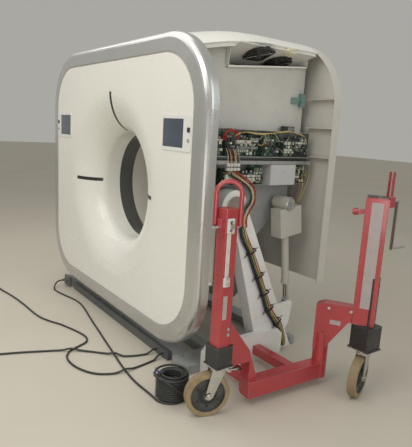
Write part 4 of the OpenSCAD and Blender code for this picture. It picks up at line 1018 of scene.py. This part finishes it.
def make_rear_column():
    """Rectangular column square to the swing arm, with its cap, stop, gear box and posts."""
    bm = bmesh.new()
    block(bm, (-0.088, -0.040, 0.436), (0.040, 0.036, 1.204), 0.006, on_column, 3)
    block(bm, (-0.118, -0.026, 1.100), (-0.087, 0.016, 1.128), 0.004, on_column, 3)
    knob = [on_column((a, -0.005, z)) for a, z in ((-0.122, 1.114), (-0.150, 1.108), (-0.157, 1.106))]
    rod(bm, knob[0], knob[1], 0.021, 24)
    rod(bm, knob[1], knob[2], 0.014, 24)
    block(bm, (1.724, 0.546, 1.146), (1.780, 0.596, 1.210), 0.004)
    for x in (1.736, 1.762):
        block(bm, (x, 0.560, 1.206), (x + 0.006, 0.584, 1.352), 0.002)
    block(bm, (1.736, 0.562, 1.300), (1.768, 0.566, 1.306), 0.001)
    o = finish("rear_column_shell", bm, red, "swing")
    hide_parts("rear_column")
    piece("rear_column_cap", black_paint, "swing", block,
          ((-0.086, -0.038, 1.2035), (0.038, 0.034, 1.2115), 0.003, on_column, 3))


# labels, brackets and small parts
def make_trim():
    make_fan_tray()
    label = paint("bare_label", (0.42, 0.37, 0.36), 0.45, spread=0.05, scale=25,
                  dirt=((0.30, 0.22, 0.21), 0.5))
    pale = paint("bracket_pale", (0.60, 0.59, 0.55), 0.42, spread=0.06, scale=12,
                 dirt=((0.35, 0.30, 0.26), 0.4))
    make_rear_column()
    # strip on the rear column, facing -Y, bare labels on the front column and on the swing arm's side
    rows = [[on_column((x, y, z)) for x, z in rect(-0.052, 0.012, 0.545, 1.176)] for y in (-0.0402, -0.0412)]
    piece("rear_strip", label, "swing", skin, (rows,))
    piece("front_label", label, "stand", block, ((1.5152, -0.420, 0.560), (1.5160, -0.392, 0.690), 0.0003))
    c = HINGE + UP * 0.425 + ARM * 0.075 + ARM_OUT * 0.0344
    rows = [[c + ARM * a + UP * z + ARM_OUT * d for a, z in rect(-0.032, 0.032, -0.014, 0.014)]
            for d in (0, 0.0008)]
    piece("arm_label", label, "swing", skin, (rows,))
    # front column: pale guide bar with slots, end brackets and screws on its outer face
    piece("column_bar", pale, "stand", block,
          ((1.5155, -0.424, 0.780), (1.523, -0.400, 1.030), 0.002),
          ((1.5155, -0.430, 1.020), (1.532, -0.384, 1.100), 0.006),
          ((1.5155, -0.432, 0.742), (1.530, -0.392, 0.792), 0.004))
    bm = bmesh.new()
    for z in (0.760, 0.790, 1.040, 1.080):
        hex_bolt(bm, (1.5305, -0.410, z), X, 0.006, 0.005)
    for z in (0.86, 0.93):
        rod(bm, (1.5228, -0.412, z), (1.5245, -0.412, z), 0.004, 12)
    rod(bm, (1.530, -0.405, 1.062), (1.540, -0.405, 1.062), 0.012, 24)
    finish("column_screws", bm, zinc, "stand")
    # bolts on the red frame
    bm = bmesh.new()
    for z in (0.47, 0.50):
        hex_bolt(bm, (1.5152, -0.372, z), X, 0.007, 0.005)
    for along in (0.03, 0.16):
        hex_bolt(bm, HINGE + UP * 0.51 + ARM * along + ARM_OUT * 0.0345, ARM_OUT, 0.006, 0.004)
    finish("frame_bolts", bm, zinc, "swing")
    # bright cap on the actuator's motor
    bm = bmesh.new()
    y, z = 0.485, 1.060
    ring(bm, (1.067, y, z), X, ((0.020, 0), (0.020, 0.010), (0.026, 0.012), (0.038, 0.011), (0.044, 0.004),
                                (0.044, 0)))
    rod(bm, (1.078, y, z), (1.083, y, z), 0.015, 6)
    finish("motor_cap", bm, steel, "actuator")
    # foam stuffed beside the fans
    bm = bmesh.new()
    bmesh.ops.create_icosphere(bm, subdivisions=4, radius=1.0)
    rnd = random.Random(3)
    off = Vector((rnd.random() * 10, rnd.random() * 10, rnd.random() * 10))
    for v in bm.verts:
        d = v.co.copy()
        f = 1 + 0.28 * mnoise.noise(d * 1.6 + off) + 0.14 * mnoise.noise(d * 4.5 + off)
        v.co = Vector((0.975 + d.x * 0.040 * f, 0.440 + d.y * 0.062 * f,
                       2.050 + d.z * 0.022 * f + 0.006 * d.x))
    o = finish("foam_wad", bm, foam_mat)
    shade_smooth(o.data)


make_trim()

# light windows: the funnel's curve, and each window's turn about the bore, start, end and half width
FUNNEL_DEEP, FUNNEL_R, FUNNEL_Y = 0.200, 0.295, -0.157
SLOTS = ((0, 0.009, 0.281, 0.0145), (90, 0.010, 0.218, 0.0125), (-90, 0.010, 0.218, 0.0135))


def make_slots():
    """Black seals round the three light windows, on the funnel's curve."""
    lo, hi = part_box("scan_window")
    bore, mid = (hi[0] - lo[0]) / 2 - 0.005, (hi[2] + lo[2]) / 2
    bm = bmesh.new()
    for turn, r0, r1, half in SLOTS:
        a = math.radians(turn)
        out, side = Vector((math.sin(a), 0, math.cos(a))), Vector((math.cos(a), 0, -math.sin(a)))
        t0, t1 = math.acos(1 - r0 / FUNNEL_R), math.acos(1 - r1 / FUNNEL_R)
        rows = []
        for i in range(29):
            t = t0 + (t1 - t0) * i / 28
            n = (-Y * (math.sin(t) / FUNNEL_DEEP) - out * (math.cos(t) / FUNNEL_R)).normalized()
            p = out * (bore + FUNNEL_R * (1 - math.cos(t))) + UP * mid
            p += Y * (FUNNEL_Y - FUNNEL_DEEP * math.sin(t))
            rows.append([p + side * w + n * h for w, h in rect(-half, half, -0.001, 0.0009)])
        skin(bm, rows)
    finish("light_slots", bm, slot_black)


make_slots()
make_coil_tie()

# floor, world and lamps: each lamp's name, place, size, power and colour
LAMPS = (("key", (1.5, -3.0, 4.2), 3.0, 78, (1.0, 0.97, 0.92)),
         ("ceiling", (-1.5, -1.0, 4.6), 4.0, 74, (1.0, 0.98, 0.94)),
         ("flash", (3.5, -1.7, 0.9), 0.8, 13, (1.0, 1.0, 0.97)),
         ("fill", (4.5, 0.8, 3.0), 2.5, 28, (0.95, 0.98, 1.0)))
LAMP_AIM = Vector((0.3, 0, 0.9))


def make_stage():
    m, nt, b = material("floor")
    col = ramp(noise(coords(nt), 0.8, 3.0), [(0.3, (0.56, 0.52, 0.44)), (0.7, (0.60, 0.56, 0.48))])
    feed(b, {"Base Color": col, "Roughness": 0.55})
    bm = bmesh.new()
    bmesh.ops.create_grid(bm, x_segments=1, y_segments=1, size=30)
    add("floor", mesh_of("floor", bm), m, None)
    w = bpy.data.worlds.new("world")
    scene.world = w
    w.use_nodes = True
    nt = w.node_tree
    nt.nodes.clear()
    light = node(nt, "Background", Color=(0.81, 0.80, 0.74), Strength=0.49)
    node(nt, "OutputWorld", Surface=light.outputs[0])
    for name, loc, size, power, color in LAMPS:
        d = bpy.data.lights.new(name, "AREA")
        d.size = size
        d.energy = power
        d.color = color
        o = link(name, d)
        o.location = loc
        o.rotation_euler = (LAMP_AIM - Vector(loc)).to_track_quat("-Z", "Y").to_euler()


make_stage()
